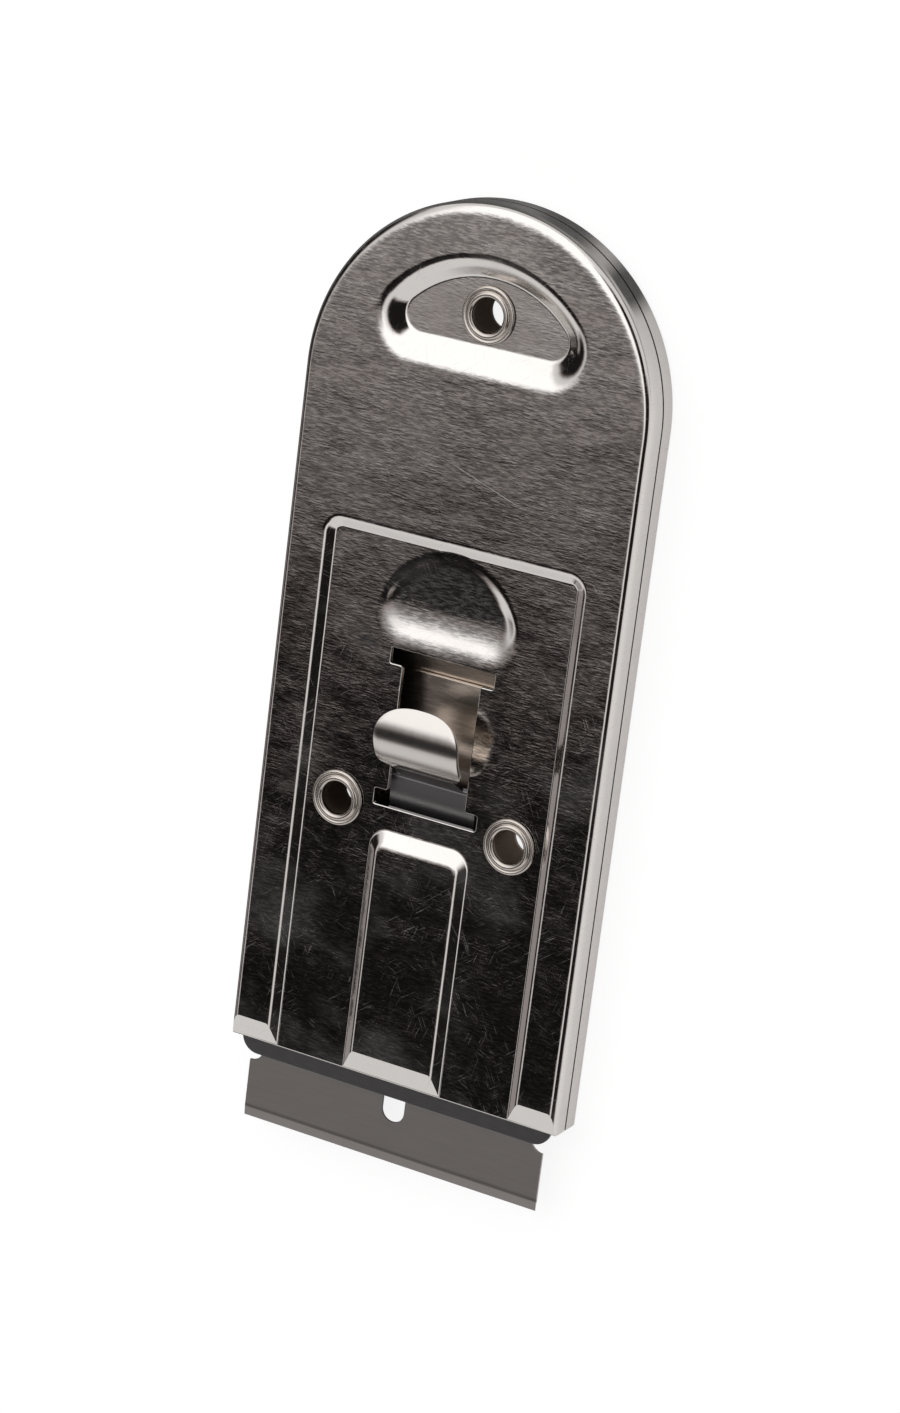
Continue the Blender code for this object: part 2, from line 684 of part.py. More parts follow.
def blade_carrier():
    """The carrier behind the blade, with a peg in the blade's slot and a long stem under the catch."""
    half_width = JAW_HALF_WIDTH - CARRIER_SETBACK
    carrier = joggled_sheet(
        "blade_carrier",
        -CARRIER_LIP,
        CARRIER_Z,
        WIDE_PART_Y - JOGGLE_STAGGER,
        STEM_Z,
        CARRIER_END_Y,
        half_width,
        CARRIER_SHEET,
        NICKEL,
    )
    trim(carrier, tee_outline(half_width, -CARRIER_LIP, WIDE_PART_Y - JOGGLE_STAGGER, CARRIER_END_Y))
    slot_top = CUTTING_EDGE_Y + CENTRE_SLOT_RISE + CENTRE_SLOT_LENGTH - CENTRE_SLOT_WIDTH / 2
    ring = arc(0, slot_top, PEG_RADIUS, 0, 360, TURN_STEPS)[:-1]
    peg = loft("peg", [(ring, CARRIER_Z), (ring, BLADE_Z + BLADE_THICKNESS / 2)])
    boolean(carrier, add_cutter("peg", peg, SLIDE), "UNION")
    return carrier


def rivet_profile(clearance):
    """A rivet from its flush tail in the carrier to its domed head on the catch, as (radius, z).

    With a clearance it is the hole for it, whose flare keeps that distance square to its slope.
    """
    flare = RIVET_FLARE + clearance * math.sqrt(2)
    tail = STEM_Z - CARRIER_SHEET / 2
    head = LEAF_Z + CATCH_SHEET / 2 + SEAT_GAP
    dome = arc(0, 0, 1, 0, 90, CORNER_STEPS)
    crown = [(RIVET_HEAD_RADIUS * u, head + RIVET_HEAD_HEIGHT * v) for u, v in dome[:-1]]
    return [
        (0, tail - clearance),
        (RIVET_SHANK_RADIUS + flare + clearance, tail - clearance),
        (RIVET_SHANK_RADIUS + clearance, tail + flare - clearance),
        (RIVET_SHANK_RADIUS + clearance, head),
        *crown,
        (0, head + RIVET_HEAD_HEIGHT),
    ]


def rivet(name, x):
    made = add_part(name, turned(name, rivet_profile(0.0)[::-1]), SLIDE, SPRING_STEEL)
    made.location = (x, RIVET_Y, 0)
    screw(made)
    smooth(made)
    return made


def rivet_hole(name, x):
    hole = add_cutter(name, turned(name, rivet_profile(SEAT_GAP)[::-1]), SLIDE)
    hole.location = (x, RIVET_Y, 0)
    screw(hole)
    return hole


# Thumb catch


def catch_widths(path, shoulder, neck_end):
    """(distance, half width) along the catch: a strip, two shoulders, the neck and the rounded tab."""
    end = path[-1][0]
    step = CATCH_SHEET / 4
    corner_end = neck_end + TAB_CORNER
    tip_start = end - TAB_TIP

    def half_width(distance):
        if distance <= shoulder:
            return SHOULDER_HALF_WIDTH
        if distance <= neck_end:
            return NECK_HALF_WIDTH
        if distance <= corner_end:
            left = (corner_end - distance) / TAB_CORNER
            return NECK_HALF_WIDTH + (TAB_HALF_WIDTH - NECK_HALF_WIDTH) * math.sqrt(1 - left**2)
        if distance <= tip_start:
            return TAB_HALF_WIDTH
        share = min((distance - tip_start) / TAB_TIP, 0.995)
        return TAB_HALF_WIDTH * (1 - share**TAB_TIP_ROUNDNESS) ** (1 / TAB_TIP_ROUNDNESS)

    corner = [neck_end + TAB_CORNER * (k / CORNER_STEPS) ** 2 for k in range(CORNER_STEPS + 1)]
    tip = [end - TAB_TIP * (1 - k / TIP_STEPS) ** 2 for k in range(TIP_STEPS + 1)]
    bends = [d for d, _, _ in path if min(abs(d - x) for x in corner + tip + [shoulder]) > step]
    return [(d, half_width(d)) for d in sorted({*bends, shoulder, shoulder + step, *corner, *tip})]


def thumb_catch():
    """A spring strip that is riveted to the slide, rises through the slot and curls into a thumb tab."""
    ramp = math.radians(RAMP_DEGREES)
    climb = math.radians(RISER_DEGREES)
    bends_rise = RAMP_BEND * (1 - math.cos(ramp)) + RISER_BEND * (math.cos(ramp) - math.cos(climb))
    bends_run = RAMP_BEND * math.sin(ramp) + RISER_BEND * (math.sin(climb) - math.sin(ramp))
    ramp_length = (SHOULDER_Z - LEAF_Z - bends_rise - SHOULDER_RISE) / math.sin(ramp)
    ramp_y = CATCH_Y - SHOULDER_RISE / math.tan(climb) - bends_run - ramp_length * math.cos(ramp)
    to_shoulder = SHOULDER_RISE / math.sin(climb)
    leaf_y = PAD_Y + CATCH_SETBACK
    moves = [
        (ramp_y - leaf_y, 0),
        (RAMP_BEND, RAMP_DEGREES),
        (ramp_length, 0),
        (RISER_BEND, RISER_DEGREES - RAMP_DEGREES),
        (to_shoulder + NECK_LENGTH, 0),
        (TAB_RADIUS, -RISER_DEGREES - TAB_DROOP_DEGREES),
    ]
    path = strip_path(leaf_y, LEAF_Z, moves)
    bends_length = RAMP_BEND * ramp + RISER_BEND * (climb - ramp)
    shoulder = ramp_y - leaf_y + bends_length + ramp_length + to_shoulder
    mesh = bent_strip("thumb_catch", path, catch_widths(path, shoulder, shoulder + NECK_LENGTH))
    for vertex in mesh.vertices:
        vertex.co -= CATCH.location
    catch = add_part("thumb_catch", mesh, CATCH, SPRING_STEEL)
    solidify(catch, CATCH_SHEET)
    smooth(catch)
    return catch


clear_scene()
PARTS = new_collection("window_scraper", rendered=True)
CUTTERS = new_collection("cutters", rendered=False)
HOUSING = add_empty("housing_frame", None, (0, (BLADE_REACH - BODY_LENGTH) / 2, 0))
SLIDE = add_empty("slide_frame", HOUSING, (0, 0, 0))
CATCH = add_empty("catch_hinge", SLIDE, (0, RIVET_Y, LEAF_Z))

front = shell("front_shell", front_presses)
boolean(front, slot_cutter())
back = shell("back_shell", back_presses)
back.rotation_euler = (0, math.pi, 0)
back.location = (0, 0, BODY_THICKNESS)

PANEL_SEATS = (BODY_THICKNESS - PANEL_DEPTH, PANEL_DEPTH)
MOON_SEATS = (BODY_THICKNESS - MOON_DEPTH, BACK_MOON_DEPTH)
for eyelet_name, eyelet_x, eyelet_y, seats in (
    ("left_eyelet", -EYELET_X, EYELET_Y, PANEL_SEATS),
    ("right_eyelet", EYELET_X, EYELET_Y, PANEL_SEATS),
    ("hang_eyelet", 0.0, END_CENTRE_Y + HANG_EYELET_RISE, MOON_SEATS),
):
    bore = bore_cutter(eyelet_name + "_bore", eyelet_x, eyelet_y)
    boolean(front, bore)
    boolean(back, bore)
    eyelet(eyelet_name, eyelet_x, eyelet_y, *seats)

blade()
jaw = blade_jaw()
carrier = blade_carrier()
catch = thumb_catch()
for rivet_name, rivet_x in (("left_rivet", -RIVET_SPREAD), ("right_rivet", RIVET_SPREAD)):
    rivet(rivet_name, rivet_x)
    hole = rivet_hole(rivet_name + "_hole", rivet_x)
    for drilled in (jaw, carrier, catch):
        boolean(drilled, hole)
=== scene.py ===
"""Looks of a nickel-plated window scraper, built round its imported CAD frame.

X runs across the scraper, Y from the blade to the hanging end, and Z out of its front.
"""

import json
import math

import bmesh
import bpy
from bpy.props import FloatProperty, FloatVectorProperty, PointerProperty
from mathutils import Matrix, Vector

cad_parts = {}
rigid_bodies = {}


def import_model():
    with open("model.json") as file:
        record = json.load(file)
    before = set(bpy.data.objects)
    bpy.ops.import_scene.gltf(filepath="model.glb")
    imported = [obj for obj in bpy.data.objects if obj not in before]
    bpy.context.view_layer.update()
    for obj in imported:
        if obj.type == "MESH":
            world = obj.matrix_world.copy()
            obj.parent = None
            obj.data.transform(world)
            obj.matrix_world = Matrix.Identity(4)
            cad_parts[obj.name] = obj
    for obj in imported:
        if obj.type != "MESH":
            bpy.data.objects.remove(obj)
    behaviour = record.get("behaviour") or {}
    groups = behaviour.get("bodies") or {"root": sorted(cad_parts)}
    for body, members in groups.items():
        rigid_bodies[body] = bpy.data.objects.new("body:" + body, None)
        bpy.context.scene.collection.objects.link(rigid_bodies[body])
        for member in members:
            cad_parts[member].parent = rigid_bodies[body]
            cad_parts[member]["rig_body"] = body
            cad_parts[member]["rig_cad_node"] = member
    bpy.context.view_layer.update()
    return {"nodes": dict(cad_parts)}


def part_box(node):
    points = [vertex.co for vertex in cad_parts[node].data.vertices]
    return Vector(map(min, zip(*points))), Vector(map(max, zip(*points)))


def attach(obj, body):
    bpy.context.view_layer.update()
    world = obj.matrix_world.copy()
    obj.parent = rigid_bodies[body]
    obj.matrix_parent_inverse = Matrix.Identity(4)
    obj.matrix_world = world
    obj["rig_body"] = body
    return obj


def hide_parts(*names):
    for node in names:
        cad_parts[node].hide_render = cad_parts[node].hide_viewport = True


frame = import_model()

bl_info = {
    "name": "Window Scraper",
    "version": (1, 0, 0),
    "blender": (4, 5, 0),
    "location": "View3D > Sidebar > Scraper",
    "description": "Builds a window scraper's shells, eyelets, slide and thumb catch with their finishes",
    "category": "Object",
}

MM = 0.001
OVERCUT = 2.0 * MM
LEAST_DROP = 0.002 * MM
MOUTH_INSET = 0.97
MERGE = 1e-6
CLOSE_MERGE = 1e-7

# Steps along the curves
END_STEPS = 144
ARCH_STEPS = 72
CORNER_STEPS = 12
EDGE_STEPS = 20
BEND_STEPS = 9
MOUTH_STEPS = 8
SLOT_STEPS = 4
TURN_STEPS = 72
HOLE_STEPS = 48
EYELET_LIP_STEPS = 10
EYELET_ROLL_STEPS = 20

# Degrees up to which the faces of a piece are shaded as one, and above which a bevel rounds an edge
SHELL_SMOOTH = 14.0
TURNED_SMOOTH = 35.0
SHEET_SMOOTH = 30.0
BLADE_SMOOTH = 3.0
SHARP_EDGE = 50.0

# Scales of the noises in a metal, per metre along X, Y and Z
BRUSHED = (1000, 4600, 1000)
BRUSHED_PATCHES = (260, 420, 260)
CLOUDS = (95, 130, 95)
HAIRS = (420, 9000, 420)
HAIR_PATCHES = (260, 260, 260)
SMEARS = (70, 110, 70)
WAVES = (190, 330, 190)

# Where Blender's colour mix has its inputs and its result
MIX_FIRST, MIX_SECOND, MIX_RESULT = 6, 7, 2

MOUTH_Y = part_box("front_shell")[0].y
CREST_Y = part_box("front_shell")[1].y
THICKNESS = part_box("front_shell")[1].z
HALF_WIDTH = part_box("front_shell")[1].x


def length(name, description, millimetres):
    return FloatProperty(
        name=name, description=description, default=millimetres * MM, unit="LENGTH", precision=5
    )


def colour(name, description, value):
    return FloatVectorProperty(
        name=name, description=description, default=value, size=3, min=0, max=1, subtype="COLOR"
    )


def share(name, description, value):
    return FloatProperty(
        name=name, description=description, default=value, min=0, max=1, subtype="FACTOR"
    )


class ShellSizes(bpy.types.PropertyGroup):
    """The two trays"""

    sheet: length("Sheet", "Thickness of the metal", 0.6)
    seam_gap: length("Seam gap", "Gap between the two trays along the sides", 0.3)
    edge_radius: length("Edge radius", "Height of the bend round the tray", 1.4)
    edge_run: length("Edge run", "How far in from the sides that bend begins", 1.2)
    crest_run: length("Crest run", "How far in from the round end it begins", 1.8)
    edge_crown: FloatProperty(name="Edge crown", description="How slowly it begins", default=2.6, min=2)
    rim_bend: share("Rim bend", "Share of a pressed wall that bends over at its rim", 0.4)
    foot_bend: share("Foot bend", "Share of a pressed wall that bends back at its foot", 0.2)
    border: length("Border", "Width of the raised border beside the panel", 4.76)
    panel_top: length("Panel top", "Distance of the panel's upper edge from the mouth", 66.2)
    panel_depth: length("Panel depth", "How far the panel is pressed in", 0.7)
    panel_wall: length("Panel wall", "Run of the slope round the panel", 1.75)
    panel_corner: length("Panel corner", "Corner radius of the panel", 2.5)
    mouth_ramp: length("Mouth ramp", "Run of the slope that ends the border at the mouth", 2.6)
    mouth_lip: length("Mouth lip", "Radius of the edge along the mouth", 0.3)
    rib_half_width: length("Rib half width", "Half the width of the rib's flat top", 5.0)
    rib_wall: length("Rib wall", "Run of the slope on each side of the rib", 1.7)
    rib_end_wall: length("Rib end wall", "Run of the slope at the rib's upper end", 2.5)
    rib_top: length("Rib top", "Distance of the end of the rib's flat top from the mouth", 28.1)
    rib_corner: length("Rib corner", "Corner radius of the rib's flat top", 0.8)
    bore_clearance: length("Bore clearance", "Gap between an eyelet's barrel and its hole", 0.2)


class RecessSizes(bpy.types.PropertyGroup):
    """The hanging recess and the thumb dish"""

    moon_margin: length("Moon margin", "Border left outside the half-moon", 5.6)
    moon_chord_rise: length("Moon chord rise", "Straight edge above the round end's centre", 2.3)
    moon_fillet: length("Moon fillet", "Corner radius of the half-moon", 5.0)
    moon_depth: length("Moon depth", "Depth of the half-moon in the front", 1.5)
    moon_back_depth: length("Moon back depth", "Depth of the half-moon in the back", 0.7)
    moon_arch_wall: length("Moon arch wall", "Run of the half-moon's curved slope", 3.0)
    moon_chord_wall: length("Moon chord wall", "Run of the half-moon's straight slope", 3.7)
    moon_rim_bend: share("Moon rim bend", "Share of the half-moon's wall that bends over", 0.6)
    moon_foot_bend: share("Moon foot bend", "Share of the half-moon's wall that bends back", 0.15)
    dish_radius: length("Dish radius", "Radius of the thumb dish", 9.4)
    dish_chord: length("Dish chord", "Distance of the dish's straight edge from the mouth", 52.4)
    dish_drop: length("Dish drop", "Straight edge below the dish's centre", 3.0)
    dish_fillet: length("Dish fillet", "Corner radius of the dish", 4.0)
    dish_depth: length("Dish depth", "Depth of the dish below the panel", 0.85)
    dish_arch_share: share("Dish arch share", "Share of that depth left at the arch", 0.3)
    dish_arch_wall: length("Dish arch wall", "Run of the dish's curved slope", 3.0)
    dish_chord_wall: length("Dish chord wall", "Run of the dish's straight ramp", 6.0)
    dish_rim_bend: share("Dish rim bend", "Share of the dish's wall that bends over at its rim", 0.3)
    dish_foot_bend: share("Dish foot bend", "Share of the dish's wall that bends back at its foot", 0.6)


class SlotSizes(bpy.types.PropertyGroup):
    """The slot that the thumb catch runs in"""

    half_width: length("Half width", "Half the width of the slot", 5.1)
    notch_half_width: length("Notch half width", "Half the width of its cross notches", 6.8)
    notch_height: length("Notch height", "Height of each cross notch", 1.9)
    foot: length("Foot", "Distance of the slot's lower end from the mouth", 33.2)
    head: length("Head", "Distance of the slot's upper end from the mouth", 52.1)
    corner: length("Corner", "Radius of the slot's corners", 0.3)
    lip: length("Lip", "Radius of the slot's edge", 0.12)


class EyeletSizes(bpy.types.PropertyGroup):
    """The three rolled eyelets"""

    bore: length("Bore", "Radius of the hole through an eyelet", 1.95)
    wall: length("Wall", "Thickness of the barrel", 0.35)
    roll_width: length("Roll width", "Width of the rolled rim", 0.85)
    roll_height: length("Roll height", "Height of the rolled rim", 0.45)
    flange: length("Flange", "Outer radius of the lip round the rim", 3.3)
    lip_height: length("Lip height", "Height of the lip round the rim", 0.2)


class CatchSizes(bpy.types.PropertyGroup):
    """The thumb catch"""

    sheet: length("Sheet", "Thickness of the spring strip", 0.45)
    start: length("Start", "Distance of the strip's riveted end from the mouth", 11.4)
    level: length("Level", "Height of the middle of the flat strip above the back", 3.275)
    shoulder: length("Shoulder", "Distance of the strip's shoulders from the mouth", 37.3)
    shoulder_level: length("Shoulder level", "Height of the middle of the shoulders' end", 4.575)
    half_width: length("Half width", "Half the width of the strip", 5.6)
    neck_half_width: length("Neck half width", "Half the width of the neck in the slot", 4.1)
    neck: length("Neck", "Length of the neck", 3.285)
    tab_half_width: length("Tab half width", "Half the width of the thumb tab", 5.45)
    tab_radius: length("Tab radius", "Radius that the tab curls to", 5.5)
    tab_corner: length("Tab corner", "Length of the tab's lower corners", 1.8)
    tab_tip: length("Tab tip", "Length of the tab's rounded tip", 4.4)


class Finishes(bpy.types.PropertyGroup):
    """The metals"""

    nickel: colour("Nickel", "Plating of the shells", (0.78, 0.745, 0.715))
    eyelet: colour("Eyelet", "Plating of the eyelets", (0.68, 0.62, 0.57))
    spring: colour("Spring", "Steel of the thumb catch", (0.74, 0.70, 0.665))
    carrier: colour("Carrier", "Plating of the carrier under the slot", (0.86, 0.77, 0.69))
    blade: colour("Blade", "Steel of the blade", (0.65, 0.608, 0.585))
    jaw: colour("Jaw", "Steel of the jaw over the blade", (0.19, 0.185, 0.19))
    grain: share("Grain", "Strength of the brushed grain", 0.8)


class StageSettings(bpy.types.PropertyGroup):
    """Floor, light and camera"""

    floor: colour("Floor", "Colour of the floor", (0.9, 0.9, 0.9))
    shade: share("Shade", "Share of the floor's shading that the camera sees", 0.3)
    veil: share("Veil", "White that the camera sees over that shading", 0.86)
    light: FloatProperty(name="Light", description="Strength of the pale room", default=1.0, min=0)
    lens: FloatProperty(
        name="Lens", description="Focal length on a 36 mm high frame", default=99.36, min=1
    )


class ScraperSettings(bpy.types.PropertyGroup):
    """All that a user would change"""

    shell: PointerProperty(type=ShellSizes)
    recess: PointerProperty(type=RecessSizes)
    slot: PointerProperty(type=SlotSizes)
    eyelet: PointerProperty(type=EyeletSizes)
    catch: PointerProperty(type=CatchSizes)
    finish: PointerProperty(type=Finishes)
    stage: PointerProperty(type=StageSettings)


# Shader maths


class Value:
    """A number over a surface, which Python's operators build Math nodes from"""

    def __init__(self, tree, socket):
        self.tree = tree
        self.socket = socket

    def math(self, operation, *values):
        node = self.tree.add("ShaderNodeMath", {"operation": operation}, dict(enumerate(values)))
        return Value(self.tree, node.outputs[0])

    def __add__(self, other):
        return self.math("ADD", self, other)

    __radd__ = __add__

    def __sub__(self, other):
        return self.math("SUBTRACT", self, other)

    def __rsub__(self, other):
        return self.math("SUBTRACT", other, self)

    def __mul__(self, other):
        return self.math("MULTIPLY", self, other)

    __rmul__ = __mul__

    def larger(self, other):
        return self.math("MAXIMUM", self, other)

    def magnitude(self):
        return self.math("ABSOLUTE", self)

    def step(self, low, high, start=0.0, end=1.0):
        """A smooth step from start to end as the value goes from low to high."""
        node = self.tree.add(
            "ShaderNodeMapRange",
            {"interpolation_type": "SMOOTHSTEP"},
            {"Value": self, "From Min": low, "From Max": high, "To Min": start, "To Max": end},
        )
        return Value(self.tree, node.outputs["Result"])

    def below(self, low, high):
        """1 up to low, and 0 from high on."""
        return self.step(low, high, 1.0, 0.0)

    def within(self, start, end):
        """1 between two soft edges, each a (low, high) pair, and 0 outside them."""
        return self.step(*start) * self.below(*end)


class Tree:
    """A node tree that is filled through one method"""

    def __init__(self, owner):
        owner.use_nodes = True
        self.nodes = owner.node_tree.nodes
        self.links = owner.node_tree.links

    def add(self, kind, settings=None, inputs=None):
        node = self.nodes.new(kind)
        for key, setting in (settings or {}).items():
            setattr(node, key, setting)
        for key, value in (inputs or {}).items():
            self.feed(node.inputs[key], value)
        return node

    def feed(self, socket, value):
        if isinstance(value, Value):
            self.links.new(value.socket, socket)
        elif isinstance(value, bpy.types.NodeSocket):
            self.links.new(value, socket)
        else:
            socket.default_value = value

    def value(self, socket):
        return Value(self, socket)

    def coordinates(self, kind):
        return self.add("ShaderNodeTexCoord").outputs[kind]

    def parts(self, vector):
        """The X, Y and Z of a vector."""
        node = self.add("ShaderNodeSeparateXYZ", {}, {0: vector})
        return [self.value(socket) for socket in node.outputs]

    def placed(self, scale, degrees=0.0, offset=(0.0, 0.0, 0.0)):
        """Object coordinates in metres, turned about Z, moved and scaled."""
        turn = (0.0, 0.0, math.radians(degrees))
        turned = self.add(
            "ShaderNodeMapping",
            {"vector_type": "POINT"},
            {"Vector": self.coordinates("Object"), "Rotation": turn, "Location": offset},
        )
        scaled = self.add(
            "ShaderNodeVectorMath", {"operation": "MULTIPLY"}, {0: turned.outputs[0], 1: scale}
        )
        return scaled.outputs[0]

    def noise(self, scale, detail=2.0, degrees=0.0, offset=(0.0, 0.0, 0.0)):
        vector = self.placed(scale, degrees, offset)
        inputs = {"Vector": vector, "Scale": 1.0, "Detail": detail, "Roughness": 0.55}
        return self.value(self.add("ShaderNodeTexNoise", {}, inputs).outputs[0])

    def flatness(self):
        """1 where a surface faces straight to the front or the back, and less on its slopes."""
        return self.parts(self.coordinates("Normal"))[2].magnitude()

    def mixed(self, factor, first, second):
        """One colour turning into another, each of them a tuple or a socket."""
        first, second = ((*part, 1.0) if isinstance(part, tuple) else part for part in (first, second))
        inputs = {"Factor": factor, MIX_FIRST: first, MIX_SECOND: second}
        node = self.add("ShaderNodeMix", {"data_type": "RGBA", "clamp_factor": True}, inputs)
        return node.outputs[MIX_RESULT]


def tint(base, factor):
    return tuple(min(1.0, part * factor) for part in base)


def scratches(tree):
    """Hair-thin marks in a few directions, each broken up into patches, and one long scratch."""
    beside, across, _ = tree.parts(tree.placed((1, 1, 1), 18.7, (0.0059, -0.0259, 0.0)))
    marks = across.magnitude().below(0.03 * MM, 0.08 * MM) * beside.magnitude().below(3.0 * MM, 6.5 * MM)
    directions = ((-37, 0.02, 0.69), (24, 0.07, 0.71), (63, 0.13, 0.71), (-72, 0.19, 0.72))
    for degrees, place, rarity in directions:
        offset = (place, place / 2, 0.0)
        line = tree.noise(HAIRS, 0.0, degrees, offset).step(rarity, rarity + 0.08)
        patch = tree.noise(HAIR_PATCHES, 1.0, 0.0, offset).step(0.46, 0.66)
        marks = marks.larger(line * patch * 0.45)
    return marks


def shell_zones(flat, along_y, height):
    """Where the flats of a shell are inside it, in its recesses, and near its hanging end."""
    inside = height.within((0.9 * MM, 1.0 * MM), (4.0 * MM, 4.2 * MM)) * flat
    recess = height.within((4.2 * MM, 4.4 * MM), (THICKNESS - 1.0 * MM, THICKNESS - 0.88 * MM)) * flat
    hanging = along_y.step(20 * MM, 25 * MM)
    return inside, recess, hanging


def metal(
    name, base, roughness, grain, across=BRUSHED, waves=0.0, marked=False, bands=(), middle=0.0, ground=None
):
    """A metal with a brushed grain, whose flats are worn darker in streaks and clouds.

    It can be wavy, and marked by smears, a film in the recesses, scratches and a dull inside, as the shells
    are; the inside's darker brown tone is painted shade. Nearer to a middle height than a (low, high, tone,
    roughness) band says, it takes the band's tone and roughness, the outermost band coming first; these
    band tones are painted shade. It can have a ground edge below a distance along Y.
    """
    finish = bpy.data.materials.new(name)
    tree = Tree(finish)
    shader = tree.nodes["Principled BSDF"]
    shader.inputs["Metallic"].default_value = 1.0
    _, along_y, height = tree.parts(tree.coordinates("Object"))
    flat = tree.flatness().step(0.975, 0.997)
    cloud = tree.noise(CLOUDS, 4.0, offset=(0.05, 0.01, 0.0))
    streak = tree.noise(across, 3.0, offset=(0.03, 0.02, 0.0)).step(0.4, 0.62)
    blur = streak * (0.05 * grain) + cloud.step(0.5, 0.8) * (0.2 * grain) + roughness
    worn = (1.0 - streak) * flat * 0.5 + cloud.step(0.3, 0.6, 0.2, 0.0) * flat
    if marked:
        inside, recess, hanging = shell_zones(flat, along_y, height)
        worn = worn * (1.0 - recess * hanging * 0.6) * (1.0 - inside)
        marks = scratches(tree)
        blur = blur.larger(marks * (roughness + 0.4)).larger(inside * 0.25)
        smear = tree.noise(SMEARS, 3.0, 20.0, (0.011, 0.043, 0.0)).step(0.5, 0.72) * 0.08
        film = recess * (streak * 0.6 + 0.4).larger(hanging) * 0.1
        tree.feed(shader.inputs["Metallic"], 1.0 - smear.larger(film).larger(marks * 0.24))
    tone = tree.mixed(worn, tint(base, 1 + 0.1 * grain), tint(base, 1 - grain))
    if marked:
        # Painted shade: the shells' inside surfaces take a darker brown tone
        tone = tree.mixed(inside, tone, (0.52, 0.44, 0.37))
    away = (height - middle).magnitude()
    # Painted shade: nearer the middle than a band's edges, the band's darker tone replaces the colour
    for low, high, shade_band_tone, band_roughness in bands:
        outside = away.step(low, high)
        tone = tree.mixed(outside, shade_band_tone, tone)
        blur = blur.larger((1.0 - outside) * band_roughness)
    if ground:
        tone = tree.mixed(along_y.step(ground, ground + 0.4 * MM), tint(base, 0.6), tone)
        tone = tree.mixed(along_y.step(ground - 0.3 * MM, ground - 0.1 * MM), tint(base, 1.25), tone)
    tree.feed(shader.inputs["Base Color"], tone)
    tree.feed(shader.inputs["Roughness"], blur)
    rippled = tree.add("ShaderNodeBump", {}, {"Height": tree.noise(WAVES), "Distance": waves})
    patch = tree.noise(BRUSHED_PATCHES, offset=(0.02, 0.03, 0.0)).step(0.35, 0.65, 0.4, 1.0)
    lines = tree.noise(across, 5.0) * patch * (flat * 0.7 + 0.3)
    brushed = {"Height": lines, "Strength": grain, "Distance": 0.021 * MM, "Normal": rippled.outputs[0]}
    tree.feed(shader.inputs["Normal"], tree.add("ShaderNodeBump", {}, brushed).outputs[0])
    return finish


# Outlines, as lists of (x, y)


def arc(centre_x, centre_y, radius, start, end, steps):
    angles = [math.radians(start + (end - start) * step / steps) for step in range(steps + 1)]
    return [(centre_x + radius * math.cos(a), centre_y + radius * math.sin(a)) for a in angles]


def arched_outline(half_width, foot, crest_inset=0.0):
    """The scraper's outline: straight sides up to the round end, which can be drawn in at its crest."""
    end = []
    for u, v in arc(0, 0, 1, 0, 180, END_STEPS):
        radius = half_width - crest_inset * v
        end.append((radius * u, CREST_Y - HALF_WIDTH + radius * v))
    return [(half_width, foot), *end, (-half_width, foot)]


def shouldered_outline(half_width, foot, top, corner):
    """Straight sides up to two rounded corners."""
    right = arc(half_width - corner, top - corner, corner, 0, 90, CORNER_STEPS)
    left = arc(corner - half_width, top - corner, corner, 90, 180, CORNER_STEPS)
    return [(half_width, foot), *right, *left, (-half_width, foot)]


def moon_outline(radius, centre, chord, fillet):
    """A round arch on a straight chord, with both corners rounded."""
    corner_y = chord + fillet
    corner_x = math.sqrt((radius - fillet) ** 2 - (corner_y - centre) ** 2)
    lean = math.degrees(math.atan2(corner_y - centre, corner_x))
    right = arc(corner_x, corner_y, fillet, -90, lean, CORNER_STEPS)
    arch = arc(0, centre, radius, lean, 180 - lean, ARCH_STEPS)
    left = arc(-corner_x, corner_y, fillet, 180 - lean, 270, CORNER_STEPS)
    return [*right, *arch[1:-1], *left]


def rounded_outline(corners, steps):
    """A closed outline through (x, y, radius) corners that turn by a right angle either way."""
    outline = []
    for here, (x, y, radius) in enumerate(corners):
        corner = Vector((x, y))
        back = (Vector(corners[here - 1][:2]) - corner).normalized()
        ahead = (Vector(corners[(here + 1) % len(corners)][:2]) - corner).normalized()
        centre = corner + (back + ahead) * radius
        for step in range(steps + 1):
            angle = math.pi / 2 * step / steps
            place = centre - ahead * radius * math.cos(angle) - back * radius * math.sin(angle)
            outline.append((place.x, place.y))
    return outline


def wall_profile(part, rim, foot):
    """The steepness of a pressed wall and its drop, from 0 to 1, part of the way from rim to floor."""
    most = 1 / (1 - (rim + foot) / 2)
    left = 1 - part
    if part < rim:
        return most * part / rim, most * part**2 / (2 * rim)
    if left < foot:
        return most * left / foot, 1 - most * left**2 / (2 * foot)
    return most, most * (part - rim / 2)


def drawn_wall(depth, runs, skin, bends=None):
    """Steps (insets, drop) up a pressed wall from its floor, the skin's depth inside the metal.

    There is an inset for each run. A step that is almost level with the one before is left out.
    """
    shell = settings().shell
    rim, foot = bends or (shell.rim_bend, shell.foot_bend)
    parts = [rim * step / BEND_STEPS for step in range(BEND_STEPS + 1)]
    parts += [1 - foot * step / BEND_STEPS for step in range(BEND_STEPS, -1, -1)]
    steps = []
    for part in parts:
        steepness, fall = wall_profile(part, rim, foot)
        slopes = [math.atan(depth / run * steepness) for run in runs]
        insets = [run * part - skin * math.sin(slope) for run, slope in zip(runs, slopes)]
        drop = depth * fall + skin * math.cos(slopes[0])
        if not steps or drop > steps[-1][1] + LEAST_DROP:
            steps.append((insets, drop))
    return reversed(steps)


# Modelling by hand


def settings():
    return bpy.context.scene.scraper


def select_only(piece):
    bpy.ops.object.select_all(action="DESELECT")
    piece.select_set(True)
    bpy.context.view_layer.objects.active = piece


def edit_all(piece):
    select_only(piece)
    bpy.ops.object.mode_set(mode="EDIT")
    bpy.ops.mesh.select_all(action="SELECT")


